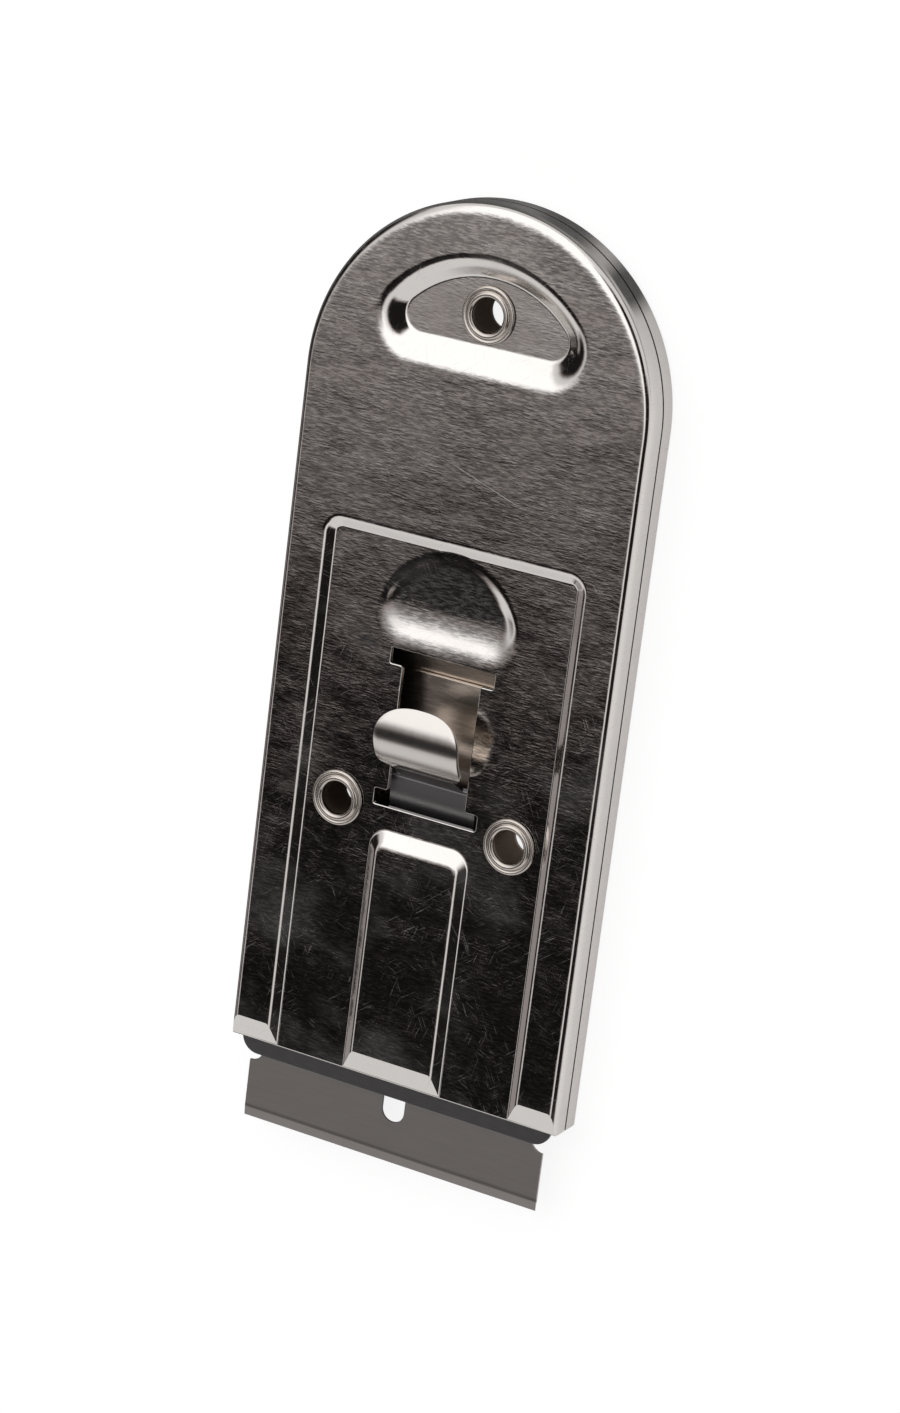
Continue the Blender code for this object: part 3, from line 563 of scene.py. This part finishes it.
def move_ring(piece, ring, places):
    """Moves a ring of vertices to its places."""
    shape = bmesh.from_edit_mesh(piece.data)
    shape.verts.ensure_lookup_table()
    for index, place in zip(ring, places):
        shape.verts[index].co = place
    bmesh.update_edit_mesh(piece.data)
    return ring


def extruded_ring(piece, ring):
    """The vertices that an extrusion has just made from a ring, in its order."""
    shape = bmesh.from_edit_mesh(piece.data)
    shape.verts.ensure_lookup_table()
    shape.verts.index_update()
    upper = []
    for index in ring:
        vertex = shape.verts[index]
        ends = [edge.other_vert(vertex) for edge in vertex.link_edges]
        upper.append(next(end.index for end in ends if end.select))
    return upper


def ring_solid(name, rings):
    """A closed solid: a filled ring is extruded through the other rings, each moved to its places."""
    bpy.ops.object.select_all(action="DESELECT")
    bpy.ops.mesh.primitive_circle_add(vertices=len(rings[0]), radius=MM, fill_type="NGON")
    solid = bpy.context.object
    solid.name = name
    bpy.ops.object.mode_set(mode="EDIT")
    ring = move_ring(solid, list(range(len(rings[0]))), rings[0])
    for places in rings[1:]:
        bpy.ops.mesh.extrude_region_move()
        ring = move_ring(solid, extruded_ring(solid, ring), places)
    bpy.ops.mesh.select_all(action="SELECT")
    bpy.ops.mesh.normals_make_consistent(inside=False)
    bpy.ops.object.mode_set(mode="OBJECT")
    return solid


def upright(sections):
    """Rings from (outline, height) sections."""
    return [[(x, y, height) for x, y in outline] for outline, height in sections]


def apply(piece, kind, **values):
    """Adds a modifier with these values and applies it."""
    select_only(piece)
    modifier = piece.modifiers.new(kind.lower(), kind)
    for key, value in values.items():
        setattr(modifier, key, value)
    bpy.ops.object.modifier_apply(modifier=modifier.name)


def carve(piece, tool):
    """Cuts a tool out of a piece and puts it away."""
    apply(piece, "BOOLEAN", object=tool, solver="EXACT", operation="DIFFERENCE")
    bpy.data.objects.remove(tool)


def round_edges(piece, width, segments):
    angle = math.radians(SHARP_EDGE)
    apply(piece, "BEVEL", width=width, segments=segments, limit_method="ANGLE", angle_limit=angle)


def polish(piece, degrees):
    """Merges doubles, smooths up to an angle and keeps flat faces flat."""
    edit_all(piece)
    bpy.ops.mesh.remove_doubles(threshold=CLOSE_MERGE)
    bpy.ops.object.mode_set(mode="OBJECT")
    bpy.ops.object.shade_smooth_by_angle(angle=math.radians(degrees))
    apply(piece, "WEIGHTED_NORMAL", keep_sharp=True, weight=60)


def hand_over(piece, node, finish):
    """Gives a piece its finish and puts it in the place of a CAD node."""
    piece.name = node + "_look"
    piece.data.name = piece.name
    piece.data.materials.clear()
    piece.data.materials.append(finish)
    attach(piece, frame["nodes"][node]["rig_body"])
    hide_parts(node)


# Shells


def block(name, skin, foot, open_z):
    """The arched block of a tray, with its front edge rounded."""
    shell = settings().shell
    drop = shell.edge_radius - skin
    run = drop if skin else shell.edge_run
    crest_run = 0.0 if skin else shell.crest_run - shell.edge_run
    power = 2.0 / shell.edge_crown
    sections = [(arched_outline(HALF_WIDTH - skin, foot), open_z)]
    for x, z in arc(0, 0, 1.0, 0, 90, EDGE_STEPS):
        inset = 1.0 - max(x, 0.0) ** power
        outline = arched_outline(HALF_WIDTH - skin - run * inset, foot, crest_run * inset)
        sections.append((outline, THICKNESS - skin - drop + drop * z**power))
    return ring_solid(name, upright(sections))


def panel_tool(skin, ribbed):
    """The recess of a panel, open at the mouth, less the rib that stands in it."""
    shell = settings().shell
    half_width = HALF_WIDTH - shell.border
    top = MOUTH_Y + shell.panel_top
    foot = MOUTH_Y - OVERCUT
    sections = []
    for (inset,), drop in drawn_wall(shell.panel_depth, [shell.panel_wall], skin):
        outline = shouldered_outline(half_width - inset, foot, top - inset, shell.panel_corner - inset)
        sections.append((outline, THICKNESS - drop))
    sections.append((sections[-1][0], THICKNESS + OVERCUT))
    tool = ring_solid("panel_tool", upright(sections))
    if ribbed:
        carve(tool, rib_tool(skin))
    return tool


def rib_tool(skin):
    """The rib from the mouth to the slot, as tall as the panel is deep."""
    shell = settings().shell
    top = MOUTH_Y + shell.rib_top
    sections = []
    for (outset, end), drop in drawn_wall(shell.panel_depth, [shell.rib_wall, shell.rib_end_wall], skin):
        outline = shouldered_outline(
            shell.rib_half_width + outset, MOUTH_Y - 2 * OVERCUT, top + end, shell.rib_corner + outset
        )
        sections.append((outline, THICKNESS - drop))
    sections.insert(0, (sections[0][0], THICKNESS - shell.panel_depth - OVERCUT))
    sections.append((sections[-1][0], THICKNESS + 2 * OVERCUT))
    return ring_solid("rib_tool", upright(sections))


def moon_tool(skin, depth):
    """The half-moon round the hanging eyelet."""
    recess = settings().recess
    centre = CREST_Y - HALF_WIDTH
    radius = HALF_WIDTH - recess.moon_margin
    chord = centre + recess.moon_chord_rise
    sections = []
    runs = [recess.moon_arch_wall, recess.moon_chord_wall]
    bends = (recess.moon_rim_bend, recess.moon_foot_bend)
    for (inset, rise), drop in drawn_wall(depth, runs, skin, bends):
        outline = moon_outline(radius - inset, centre, chord + rise, recess.moon_fillet - inset)
        sections.append((outline, THICKNESS - drop))
    sections.append((sections[-1][0], THICKNESS + OVERCUT))
    return ring_solid("moon_tool", upright(sections))


def dish_tool(skin):
    """The thumb dish above the slot, ramped at its straight edge and shallower at its arch."""
    recess = settings().recess
    chord = MOUTH_Y + recess.dish_chord
    centre = chord + recess.dish_drop
    level = THICKNESS - settings().shell.panel_depth - skin
    rings = []
    runs = [recess.dish_arch_wall, recess.dish_chord_wall]
    bends = (recess.dish_rim_bend, recess.dish_foot_bend)
    for (inset, rise), drop in drawn_wall(recess.dish_depth, runs, 0.0, bends):
        radius = recess.dish_radius - inset
        outline = moon_outline(radius, centre, chord + rise, recess.dish_fillet - inset)
        lost = (1 - recess.dish_arch_share) / (recess.dish_drop + recess.dish_radius)
        rings.append([(x, y, level - drop * (1 - lost * (y - chord))) for x, y in outline])
    rings.append([(x, y, THICKNESS + OVERCUT) for x, y, _ in rings[-1]])
    return ring_solid("dish_tool", rings)


def ramp_tool(skin):
    """The wedge that brings the border and the rib down to the panel at the mouth.

    On the outer skin it rounds the mouth's edge too, with an arc that reaches just past the tray's end.
    """
    shell = settings().shell
    rise = shell.panel_depth / shell.mouth_ramp
    sunk = skin / math.cos(math.atan(rise))
    foot_z = THICKNESS - shell.panel_depth - sunk
    high = THICKNESS + 2 * OVERCUT
    reach = shell.mouth_ramp + 2 * OVERCUT
    wedge = [
        (MOUTH_Y + reach, foot_z + reach * rise),
        (MOUTH_Y + reach, high),
        (MOUTH_Y - 2 * OVERCUT, high),
    ]
    if skin:
        wedge.append((MOUTH_Y - 2 * OVERCUT, foot_z - 2 * OVERCUT * rise))
    else:
        lip = shell.mouth_lip
        inset = MOUTH_INSET * lip
        wedge.append((MOUTH_Y - 2 * OVERCUT, foot_z - lip))
        wedge += arc(MOUTH_Y + inset, foot_z - inset, lip, 180, 90, MOUTH_STEPS)
    side = HALF_WIDTH + OVERCUT
    return ring_solid("ramp_tool", [[(x, y, z) for y, z in wedge] for x in (-side, side)])


def slot_tool():
    """The catch's slot with its cross notches, which rounds its upper edge too."""
    slot = settings().slot
    panel = THICKNESS - settings().shell.panel_depth

    def outline(grow):
        narrow = slot.half_width + grow
        wide = slot.notch_half_width + grow
        foot = MOUTH_Y + slot.foot - grow
        head = MOUTH_Y + slot.head + grow
        lower = MOUTH_Y + slot.foot + slot.notch_height + grow
        upper = MOUTH_Y + slot.head - slot.notch_height - grow
        outer = slot.corner + grow
        inner = slot.corner - grow
        right = [
            (wide, foot, outer),
            (wide, lower, outer),
            (narrow, lower, inner),
            (narrow, upper, inner),
            (wide, upper, outer),
            (wide, head, outer),
        ]
        return rounded_outline(right + [(-x, y, r) for x, y, r in reversed(right)], SLOT_STEPS)

    sections = [(outline(0), panel - OVERCUT)]
    for step in range(SLOT_STEPS + 1):
        angle = math.pi / 2 * step / SLOT_STEPS
        lift = panel - slot.lip + slot.lip * math.sin(angle)
        sections.append((outline(slot.lip * (1 - math.cos(angle))), lift))
    sections.append((sections[-1][0], panel + OVERCUT))
    return ring_solid("slot_tool", upright(sections))


def centre_of(node):
    """The (x, y) of the middle of a CAD node."""
    low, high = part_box(node)
    return (low.x + high.x) / 2, (low.y + high.y) / 2


def eyelet_places():
    """Each eyelet's node and the middle of it."""
    return {node: centre_of(node) for node in ("left_eyelet", "right_eyelet", "hang_eyelet")}


def pierce(piece):
    """Holes for the eyelets' barrels."""
    sizes = settings().eyelet
    radius = sizes.bore + sizes.wall + settings().shell.bore_clearance
    for x, y in eyelet_places().values():
        ring = arc(x, y, radius, 0, 360, TURN_STEPS)[:-1]
        carve(piece, ring_solid("bore_tool", upright([(ring, -OVERCUT), (ring, THICKNESS + OVERCUT)])))


def tray(name, tools):
    """A tray of even thickness: the solid under its outer skin less the solid under its inner skin."""
    shell = settings().shell
    seam = (THICKNESS + shell.seam_gap) / 2
    outer = block(name, 0.0, MOUTH_Y, seam)
    inside = block(name + "_inside", shell.sheet, MOUTH_Y - OVERCUT, seam - OVERCUT)
    for form, skin in ((outer, 0.0), (inside, shell.sheet)):
        for tool in tools(skin):
            carve(form, tool)
    carve(outer, inside)
    return outer


class SCRAPER_OT_front_shell(bpy.types.Operator):
    """Press the front shell with its panel, rib, slot, dish and half-moon"""

    bl_idname = "scraper.front_shell"
    bl_label = "Front Shell"

    def execute(self, context):
        def tools(skin):
            yield panel_tool(skin, ribbed=True)
            yield ramp_tool(skin)
            yield moon_tool(skin, settings().recess.moon_depth)
            yield dish_tool(skin)

        piece = tray("front_shell", tools)
        carve(piece, slot_tool())
        pierce(piece)
        polish(piece, SHELL_SMOOTH)
        hand_over(piece, "front_shell", nickel())
        return {"FINISHED"}


class SCRAPER_OT_back_shell(bpy.types.Operator):
    """Press the back shell with its panel and half-moon"""

    bl_idname = "scraper.back_shell"
    bl_label = "Back Shell"

    def execute(self, context):
        def tools(skin):
            yield panel_tool(skin, ribbed=False)
            yield moon_tool(skin, settings().recess.moon_back_depth)

        piece = tray("back_shell", tools)
        piece.rotation_euler = (0, math.pi, 0)
        piece.location = (0, 0, THICKNESS)
        select_only(piece)
        bpy.ops.object.transform_apply(location=True, rotation=True, scale=True)
        pierce(piece)
        polish(piece, SHELL_SMOOTH)
        hand_over(piece, "back_shell", nickel())
        return {"FINISHED"}


def nickel():
    """The plating that both shells share."""
    found = bpy.data.materials.get("brushed_nickel")
    if found:
        return found
    finish = settings().finish
    base = tuple(finish.nickel)
    return metal("brushed_nickel", base, 0.05, finish.grain, waves=0.03 * MM, marked=True)


# Eyelets


class SCRAPER_OT_eyelets(bpy.types.Operator):
    """Roll the three eyelets over both shells"""

    bl_idname = "scraper.eyelets"
    bl_label = "Eyelets"

    def execute(self, context):
        sizes = settings().eyelet
        finish = settings().finish
        rim = self.rim(sizes)
        for node, (x, y) in eyelet_places().items():
            low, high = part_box(node)
            front = high.z - sizes.roll_height
            back = low.z + sizes.roll_height
            profile = [(radius, front + height) for radius, height in rim]
            profile += [(radius, back - height) for radius, height in reversed(rim)]
            profile += [(sizes.bore + sizes.wall, back), (sizes.bore + sizes.wall, front)]
            piece = turned_solid(node, profile, (x, y))
            polish(piece, TURNED_SMOOTH)
            middle = (front + back) / 2
            # Painted shade: the barrel deep inside the bore is a dark brown and rougher
            bore = (front - 0.5 * MM - middle, front + 0.2 * MM - middle, (0.3, 0.23, 0.18), 0.55)
            bright = tuple(finish.eyelet)
            plating = metal(
                node + "_plating", bright, 0.24, finish.grain / 5, bands=[bore], middle=middle
            )
            hand_over(piece, node, plating)
        return {"FINISHED"}

    def rim(self, sizes):
        """The rolled rim and the lower lip round it, from outside to inside, as (radius, height)."""
        lip = (sizes.flange - sizes.bore - sizes.roll_width) / 2
        roll = sizes.roll_width / 2
        lip_arc = arc(0, 0, 1, 0, 130, EYELET_LIP_STEPS)
        roll_arc = arc(0, 0, 1, 20, 180, EYELET_ROLL_STEPS)
        return [
            *[(sizes.flange - lip + lip * u, sizes.lip_height * v) for u, v in lip_arc],
            *[(sizes.bore + roll + roll * u, sizes.roll_height * v) for u, v in roll_arc],
        ]


def turned_solid(name, profile, centre):
    """A closed profile of (radius, z) spun round an upright axis."""
    bpy.ops.object.select_all(action="DESELECT")
    bpy.ops.mesh.primitive_circle_add(vertices=len(profile), radius=MM, fill_type="NOTHING")
    solid = bpy.context.object
    solid.name = name
    bpy.ops.object.mode_set(mode="EDIT")
    x, y = centre
    move_ring(solid, list(range(len(profile))), [(x + radius, y, z) for radius, z in profile])
    bpy.ops.mesh.spin(steps=TURN_STEPS, angle=2 * math.pi, center=(x, y, 0), axis=(0, 0, 1))
    bpy.ops.mesh.select_all(action="SELECT")
    bpy.ops.mesh.remove_doubles(threshold=MERGE)
    bpy.ops.mesh.normals_make_consistent(inside=False)
    bpy.ops.object.mode_set(mode="OBJECT")
    return solid


# Slide

BLADE_GRIND = 1.3 * MM
JAW_EDGE = 0.08 * MM
CARRIER_EDGE = 0.06 * MM


def traced(node):
    """A merged copy of a CAD node's mesh, with its triangles joined into faces."""
    select_only(frame["nodes"][node])
    bpy.ops.object.duplicate()
    piece = bpy.context.object
    piece.parent = None
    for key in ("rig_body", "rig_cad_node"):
        if key in piece:
            del piece[key]
    edit_all(piece)
    bpy.ops.mesh.remove_doubles(threshold=MERGE)
    bpy.ops.mesh.dissolve_limited(angle_limit=math.radians(0.5))
    bpy.ops.object.mode_set(mode="OBJECT")
    return piece


class SCRAPER_OT_slide(bpy.types.Operator):
    """Finish the blade, the jaw over it, the carrier and the rivets"""

    bl_idname = "scraper.slide"
    bl_label = "Slide"

    def execute(self, context):
        finish = settings().finish
        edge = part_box("blade")[0].y + BLADE_GRIND
        steel = metal("blade_steel", tuple(finish.blade), 0.34, 0.06, (200, 2600, 200), ground=edge)
        dark = metal("jaw_steel", tuple(finish.jaw), 0.4, 0.12, (600, 2900, 600))
        plain = metal("carrier_nickel", tuple(finish.carrier), 0.2, 0.25, (700, 4200, 700))
        blade = traced("blade")
        polish(blade, BLADE_SMOOTH)
        hand_over(blade, "blade", steel)
        sheets = (("blade_jaw", JAW_EDGE, dark), ("blade_carrier", CARRIER_EDGE, plain))
        for node, width, plate in sheets:
            piece = traced(node)
            round_edges(piece, width, 2)
            polish(piece, SHEET_SMOOTH)
            hand_over(piece, node, plate)
        for node in ("left_rivet", "right_rivet"):
            rivet = traced(node)
            polish(rivet, TURNED_SMOOTH)
            hand_over(rivet, node, metal(node + "_steel", tuple(finish.spring), 0.3, 0.1))
        return {"FINISHED"}


# Thumb catch

RAMP_DEGREES = 8
RAMP_BEND = 1.0 * MM
CLIMB_DEGREES = 58
CLIMB_BEND = 0.9 * MM
CURL_DEGREES = 90
SHOULDER_RISE = 0.1 * MM
SHOULDER_STEP = 0.08 * MM
CATCH_EDGE = 0.11 * MM
TIP_POWER = 2.45
TIP_END = 0.9985
RIVET_HOLE = 1.0 * MM
STRIP_COLUMNS = 15
STRIP_TURN_STEP = 2.0
LEAST_ROW = 0.06 * MM
CORNER_ROWS = 12
TIP_ROWS = 26


def strip_path(start, level, moves):
    """Points (distance, y, z) along a bent strip.

    Each move is a length and no turn, or a bend's radius and its turn upward in degrees.
    """
    y, z, heading, distance = start, level, 0.0, 0.0
    path = [(distance, y, z)]
    for size, turn in moves:
        steps = max(1, math.ceil(abs(turn) / STRIP_TURN_STEP))
        run = size * math.radians(abs(turn)) if turn else size
        for _ in range(steps):
            half_turn = math.radians(turn) / steps / 2
            chord = 2 * size * math.sin(abs(half_turn)) if turn else run
            heading += half_turn
            y += chord * math.cos(heading)
            z += chord * math.sin(heading)
            heading += half_turn
            distance += run / steps
            path.append((distance, y, z))
    return path


def along(path, distance):
    """The (y, z) at a distance along a path."""
    for (start, y0, z0), (end, y1, z1) in zip(path, path[1:]):
        if distance <= end:
            part = (distance - start) / (end - start)
            return y0 + part * (y1 - y0), z0 + part * (z1 - z0)
    return path[-1][1:]


class SCRAPER_OT_thumb_catch(bpy.types.Operator):
    """Bend the spring strip into the thumb catch"""

    bl_idname = "scraper.thumb_catch"
    bl_label = "Thumb Catch"

    def execute(self, context):
        sizes = settings().catch
        finish = settings().finish
        path, shoulder = self.bent(sizes)
        rows = self.rows(sizes, path, shoulder)
        across, up = STRIP_COLUMNS - 1, len(rows) - 1
        bpy.ops.object.select_all(action="DESELECT")
        bpy.ops.mesh.primitive_grid_add(x_subdivisions=across, y_subdivisions=up, size=MM)
        piece = bpy.context.object
        for row, (distance, half_width) in enumerate(rows):
            y, z = along(path, distance)
            for column in range(STRIP_COLUMNS):
                x = half_width * (2 * column / across - 1)
                piece.data.vertices[row * STRIP_COLUMNS + column].co = (x, y, z)
        apply(piece, "SOLIDIFY", thickness=sizes.sheet, offset=0.0, use_even_offset=True)
        for node in ("left_rivet", "right_rivet"):
            ring = arc(*centre_of(node), RIVET_HOLE, 0, 360, HOLE_STEPS)[:-1]
            carve(piece, ring_solid("hole_tool", upright([(ring, 0.0), (ring, THICKNESS)])))
        round_edges(piece, CATCH_EDGE, 3)
        polish(piece, SHEET_SMOOTH)
        # Painted shade under the tab: the neck below it nearly black and the flat strip lower down dark
        # grey, both rougher
        neck = (7.0 * MM, 7.3 * MM, (0.12, 0.1, 0.085), 0.35)
        strip = (4.7 * MM, 5.1 * MM, (0.3, 0.29, 0.3), 0.24)
        steel = metal(
            "spring_satin", tuple(finish.spring), 0.19, 0.12, (2400, 500, 2400), bands=[neck, strip]
        )
        hand_over(piece, "thumb_catch", steel)
        return {"FINISHED"}

    def bent(self, sizes):
        """The strip's path, and the distance along it of its shoulders."""
        ramp, climb = math.radians(RAMP_DEGREES), math.radians(CLIMB_DEGREES)
        rise = RAMP_BEND * (1 - math.cos(ramp)) + CLIMB_BEND * (math.cos(ramp) - math.cos(climb))
        run = RAMP_BEND * math.sin(ramp) + CLIMB_BEND * (math.sin(climb) - math.sin(ramp))
        sloped = (sizes.shoulder_level - sizes.level - rise - SHOULDER_RISE) / math.sin(ramp)
        ramp_start = sizes.shoulder - SHOULDER_RISE / math.tan(climb) - run - sloped * math.cos(ramp)
        to_shoulder = SHOULDER_RISE / math.sin(climb)
        moves = [
            (ramp_start - sizes.start, 0),
            (RAMP_BEND, RAMP_DEGREES),
            (sloped, 0),
            (CLIMB_BEND, CLIMB_DEGREES - RAMP_DEGREES),
            (to_shoulder + sizes.neck, 0),
            (sizes.tab_radius, -CURL_DEGREES),
        ]
        path = strip_path(MOUTH_Y + sizes.start, sizes.level, moves)
        bends = RAMP_BEND * ramp + CLIMB_BEND * (climb - ramp)
        return path, ramp_start - sizes.start + bends + sloped + to_shoulder

    def rows(self, sizes, path, shoulder):
        """(distance, half width) of each row of the strip, from its riveted end to the tab's tip."""
        end = path[-1][0]
        neck_end = shoulder + sizes.neck
        corner_end = neck_end + sizes.tab_corner
        tip_start = end - sizes.tab_tip

        def half_width(distance):
            if distance <= shoulder:
                return sizes.half_width
            if distance <= neck_end:
                return sizes.neck_half_width
            if distance <= corner_end:
                left = (corner_end - distance) / sizes.tab_corner
                gain = sizes.tab_half_width - sizes.neck_half_width
                return sizes.neck_half_width + gain * math.sqrt(1 - left**2)
            if distance <= tip_start:
                return sizes.tab_half_width
            part = min((distance - tip_start) / sizes.tab_tip, TIP_END)
            return sizes.tab_half_width * (1 - part**TIP_POWER) ** (1 / TIP_POWER)

        corner = [neck_end + sizes.tab_corner * (k / CORNER_ROWS) ** 2 for k in range(CORNER_ROWS + 1)]
        tip = [end - sizes.tab_tip * (1 - k / TIP_ROWS) ** 2 for k in range(TIP_ROWS + 1)]
        fixed = [shoulder, shoulder + SHOULDER_STEP, *corner, *tip]
        bends = [d for d, _, _ in path if min(abs(d - x) for x in fixed) > LEAST_ROW]
        return [(d, half_width(d)) for d in sorted({*bends, *fixed})]


# Stage

BLACK = (0.0, 0.0, 0.0)
WHITE = (1.0, 1.0, 1.0)
FLOOR_SIZE = 6.0
DIM_SPOTS = (((0.0165, 0.053, 0.0), 0.005), ((0.0065, 0.058, 0.0), 0.006))
FRAME_HEIGHT = 36.0
CAMERA_PLACE = (0.19419, 0.12596, 0.38609)
CAMERA_DEGREES = (-12.8158, 28.6653, 7.8369)


class SCRAPER_OT_stage(bpy.types.Operator):
    """Set up the pale floor, the soft room and the camera"""

    bl_idname = "scraper.stage"
    bl_label = "Stage"

    def execute(self, context):
        stage = settings().stage
        self.floor(stage)
        self.room(context, stage)
        self.camera(context, stage)
        context.scene.view_settings.view_transform = "Standard"
        return {"FINISHED"}

    def floor(self, stage):
        """A floor that the camera sees almost white and metal mirrors lit on one side, dim elsewhere."""
        bpy.ops.object.select_all(action="DESELECT")
        bpy.ops.mesh.primitive_plane_add(size=FLOOR_SIZE, location=(0, 0, 0))
        floor = bpy.context.object
        floor.name = "floor"
        pale = bpy.data.materials.new("pale_floor")
        tree = Tree(pale)
        shader = tree.nodes["Principled BSDF"]
        shader.inputs["Roughness"].default_value = 0.9
        shader.inputs["Specular IOR Level"].default_value = 0.0
        ray = tree.add("ShaderNodeLightPath")
        seen = tree.value(ray.outputs["Is Camera Ray"])
        mirrored = tree.value(ray.outputs["Is Glossy Ray"])
        place = tree.coordinates("Object")
        x, y, _ = tree.parts(place)
        lit = x.step(-0.01, 0.03) * y.below(0.03, 0.1)
        for spot, radius in DIM_SPOTS:
            away = tree.add("ShaderNodeVectorMath", {"operation": "DISTANCE"}, {0: place, 1: spot})
            lit = lit * tree.value(away.outputs["Value"]).step(radius * 0.3, radius)
        plain = tuple(stage.floor)
        base = tree.mixed(seen, plain, tint(plain, stage.shade))
        base = tree.mixed(mirrored * (1.0 - lit), base, tint(plain, 0.2))
        tree.feed(shader.inputs["Base Color"], base)
        glow = seen * stage.veil + mirrored * lit * 0.25
        tree.feed(shader.inputs["Emission Color"], tree.mixed(glow, BLACK, WHITE))
        shader.inputs["Emission Strength"].default_value = 1.0
        floor.data.materials.append(pale)

    def room(self, context, stage):
        """A white room, brighter overhead, with dark cards where the photo's metal mirrors something dark.

        Each card is a range of directions with soft edges.
        """
        world = bpy.data.worlds.new("pale_room")
        context.scene.world = world
        tree = Tree(world)
        shader = tree.nodes["Background"]
        x, y, z = tree.parts(tree.coordinates("Generated"))
        fade = y.step(-0.285, -0.19) * 0.3 + y.step(-0.15, 0.1) * 0.7
        before = y.step(-0.7, -0.58) * (1.0 - fade)
        before = before * x.within((-0.78, -0.64), (0.0, 0.15)) * z.step(0.5, 0.64)
        upper = y.below(0.5, 0.75) * z.step(0.58, 0.68)
        right = (x + y.larger(0.0) * 0.3).step(0.27, 0.41) * x.below(0.86, 0.95)
        right = right * y.step(-0.7, -0.52) * y.below(0.05, 0.3).larger(upper)
        raised = y.step(-0.26, -0.16).larger(z.step(0.12, 0.25))
        left = x.below(-0.86, -0.72) * (raised * 0.4 + 0.6) * y.step(-0.5, -0.4)
        low = z.below(0.02, 0.28) * y.below(-0.5, -0.4) * 0.6
        dark = before.larger(right).larger(left).larger(low)
        bright = y.step(-0.32, -0.05) * z.step(0.4, 0.53) * x.within((-0.7, -0.52), (0.05, 0.35)) * 0.55
        level = (bright + 0.7) * (1.0 - dark * 0.985) * stage.light
        warm = tree.mixed(level.step(0.1, 0.6), (1.0, 0.885, 0.855), WHITE)
        lit = tree.add("ShaderNodeVectorMath", {"operation": "SCALE"}, {0: warm, "Scale": level})
        seen = tree.value(tree.add("ShaderNodeLightPath").outputs["Is Camera Ray"])
        tree.feed(shader.inputs["Color"], tree.mixed(seen, lit.outputs[0], WHITE))

    def camera(self, context, stage):
        data = bpy.data.cameras.new("camera")
        data.sensor_fit = "VERTICAL"
        data.sensor_height = FRAME_HEIGHT
        data.lens = stage.lens
        camera = bpy.data.objects.new("camera", data)
        camera.location = CAMERA_PLACE
        camera.rotation_euler = [math.radians(angle) for angle in CAMERA_DEGREES]
        context.scene.collection.objects.link(camera)
        context.scene.camera = camera


class SCRAPER_PT_sidebar(bpy.types.Panel):
    """The scraper's pieces and sizes"""

    bl_label = "Window Scraper"
    bl_idname = "SCRAPER_PT_sidebar"
    bl_space_type = "VIEW_3D"
    bl_region_type = "UI"
    bl_category = "Scraper"

    def draw(self, context):
        for operator in OPERATORS:
            self.layout.operator(operator.bl_idname)
        for group in GROUPS[-1].__annotations__:
            sizes = getattr(settings(), group)
            box = self.layout.box()
            box.label(text=group.capitalize())
            for key in type(sizes).__annotations__:
                box.prop(sizes, key)


GROUPS = (
    ShellSizes,
    RecessSizes,
    SlotSizes,
    EyeletSizes,
    CatchSizes,
    Finishes,
    StageSettings,
    ScraperSettings,
)
OPERATORS = (
    SCRAPER_OT_stage,
    SCRAPER_OT_front_shell,
    SCRAPER_OT_back_shell,
    SCRAPER_OT_eyelets,
    SCRAPER_OT_slide,
    SCRAPER_OT_thumb_catch,
)


def register():
    for made in (*GROUPS, *OPERATORS, SCRAPER_PT_sidebar):
        bpy.utils.register_class(made)
    bpy.types.Scene.scraper = PointerProperty(type=ScraperSettings)


def unregister():
    del bpy.types.Scene.scraper
    for made in reversed((*GROUPS, *OPERATORS, SCRAPER_PT_sidebar)):
        bpy.utils.unregister_class(made)


def main():
    register()
    bpy.ops.scraper.stage()
    bpy.ops.scraper.front_shell()
    bpy.ops.scraper.back_shell()
    bpy.ops.scraper.eyelets()
    bpy.ops.scraper.slide()
    bpy.ops.scraper.thumb_catch()


if __name__ == "__main__":
    main()
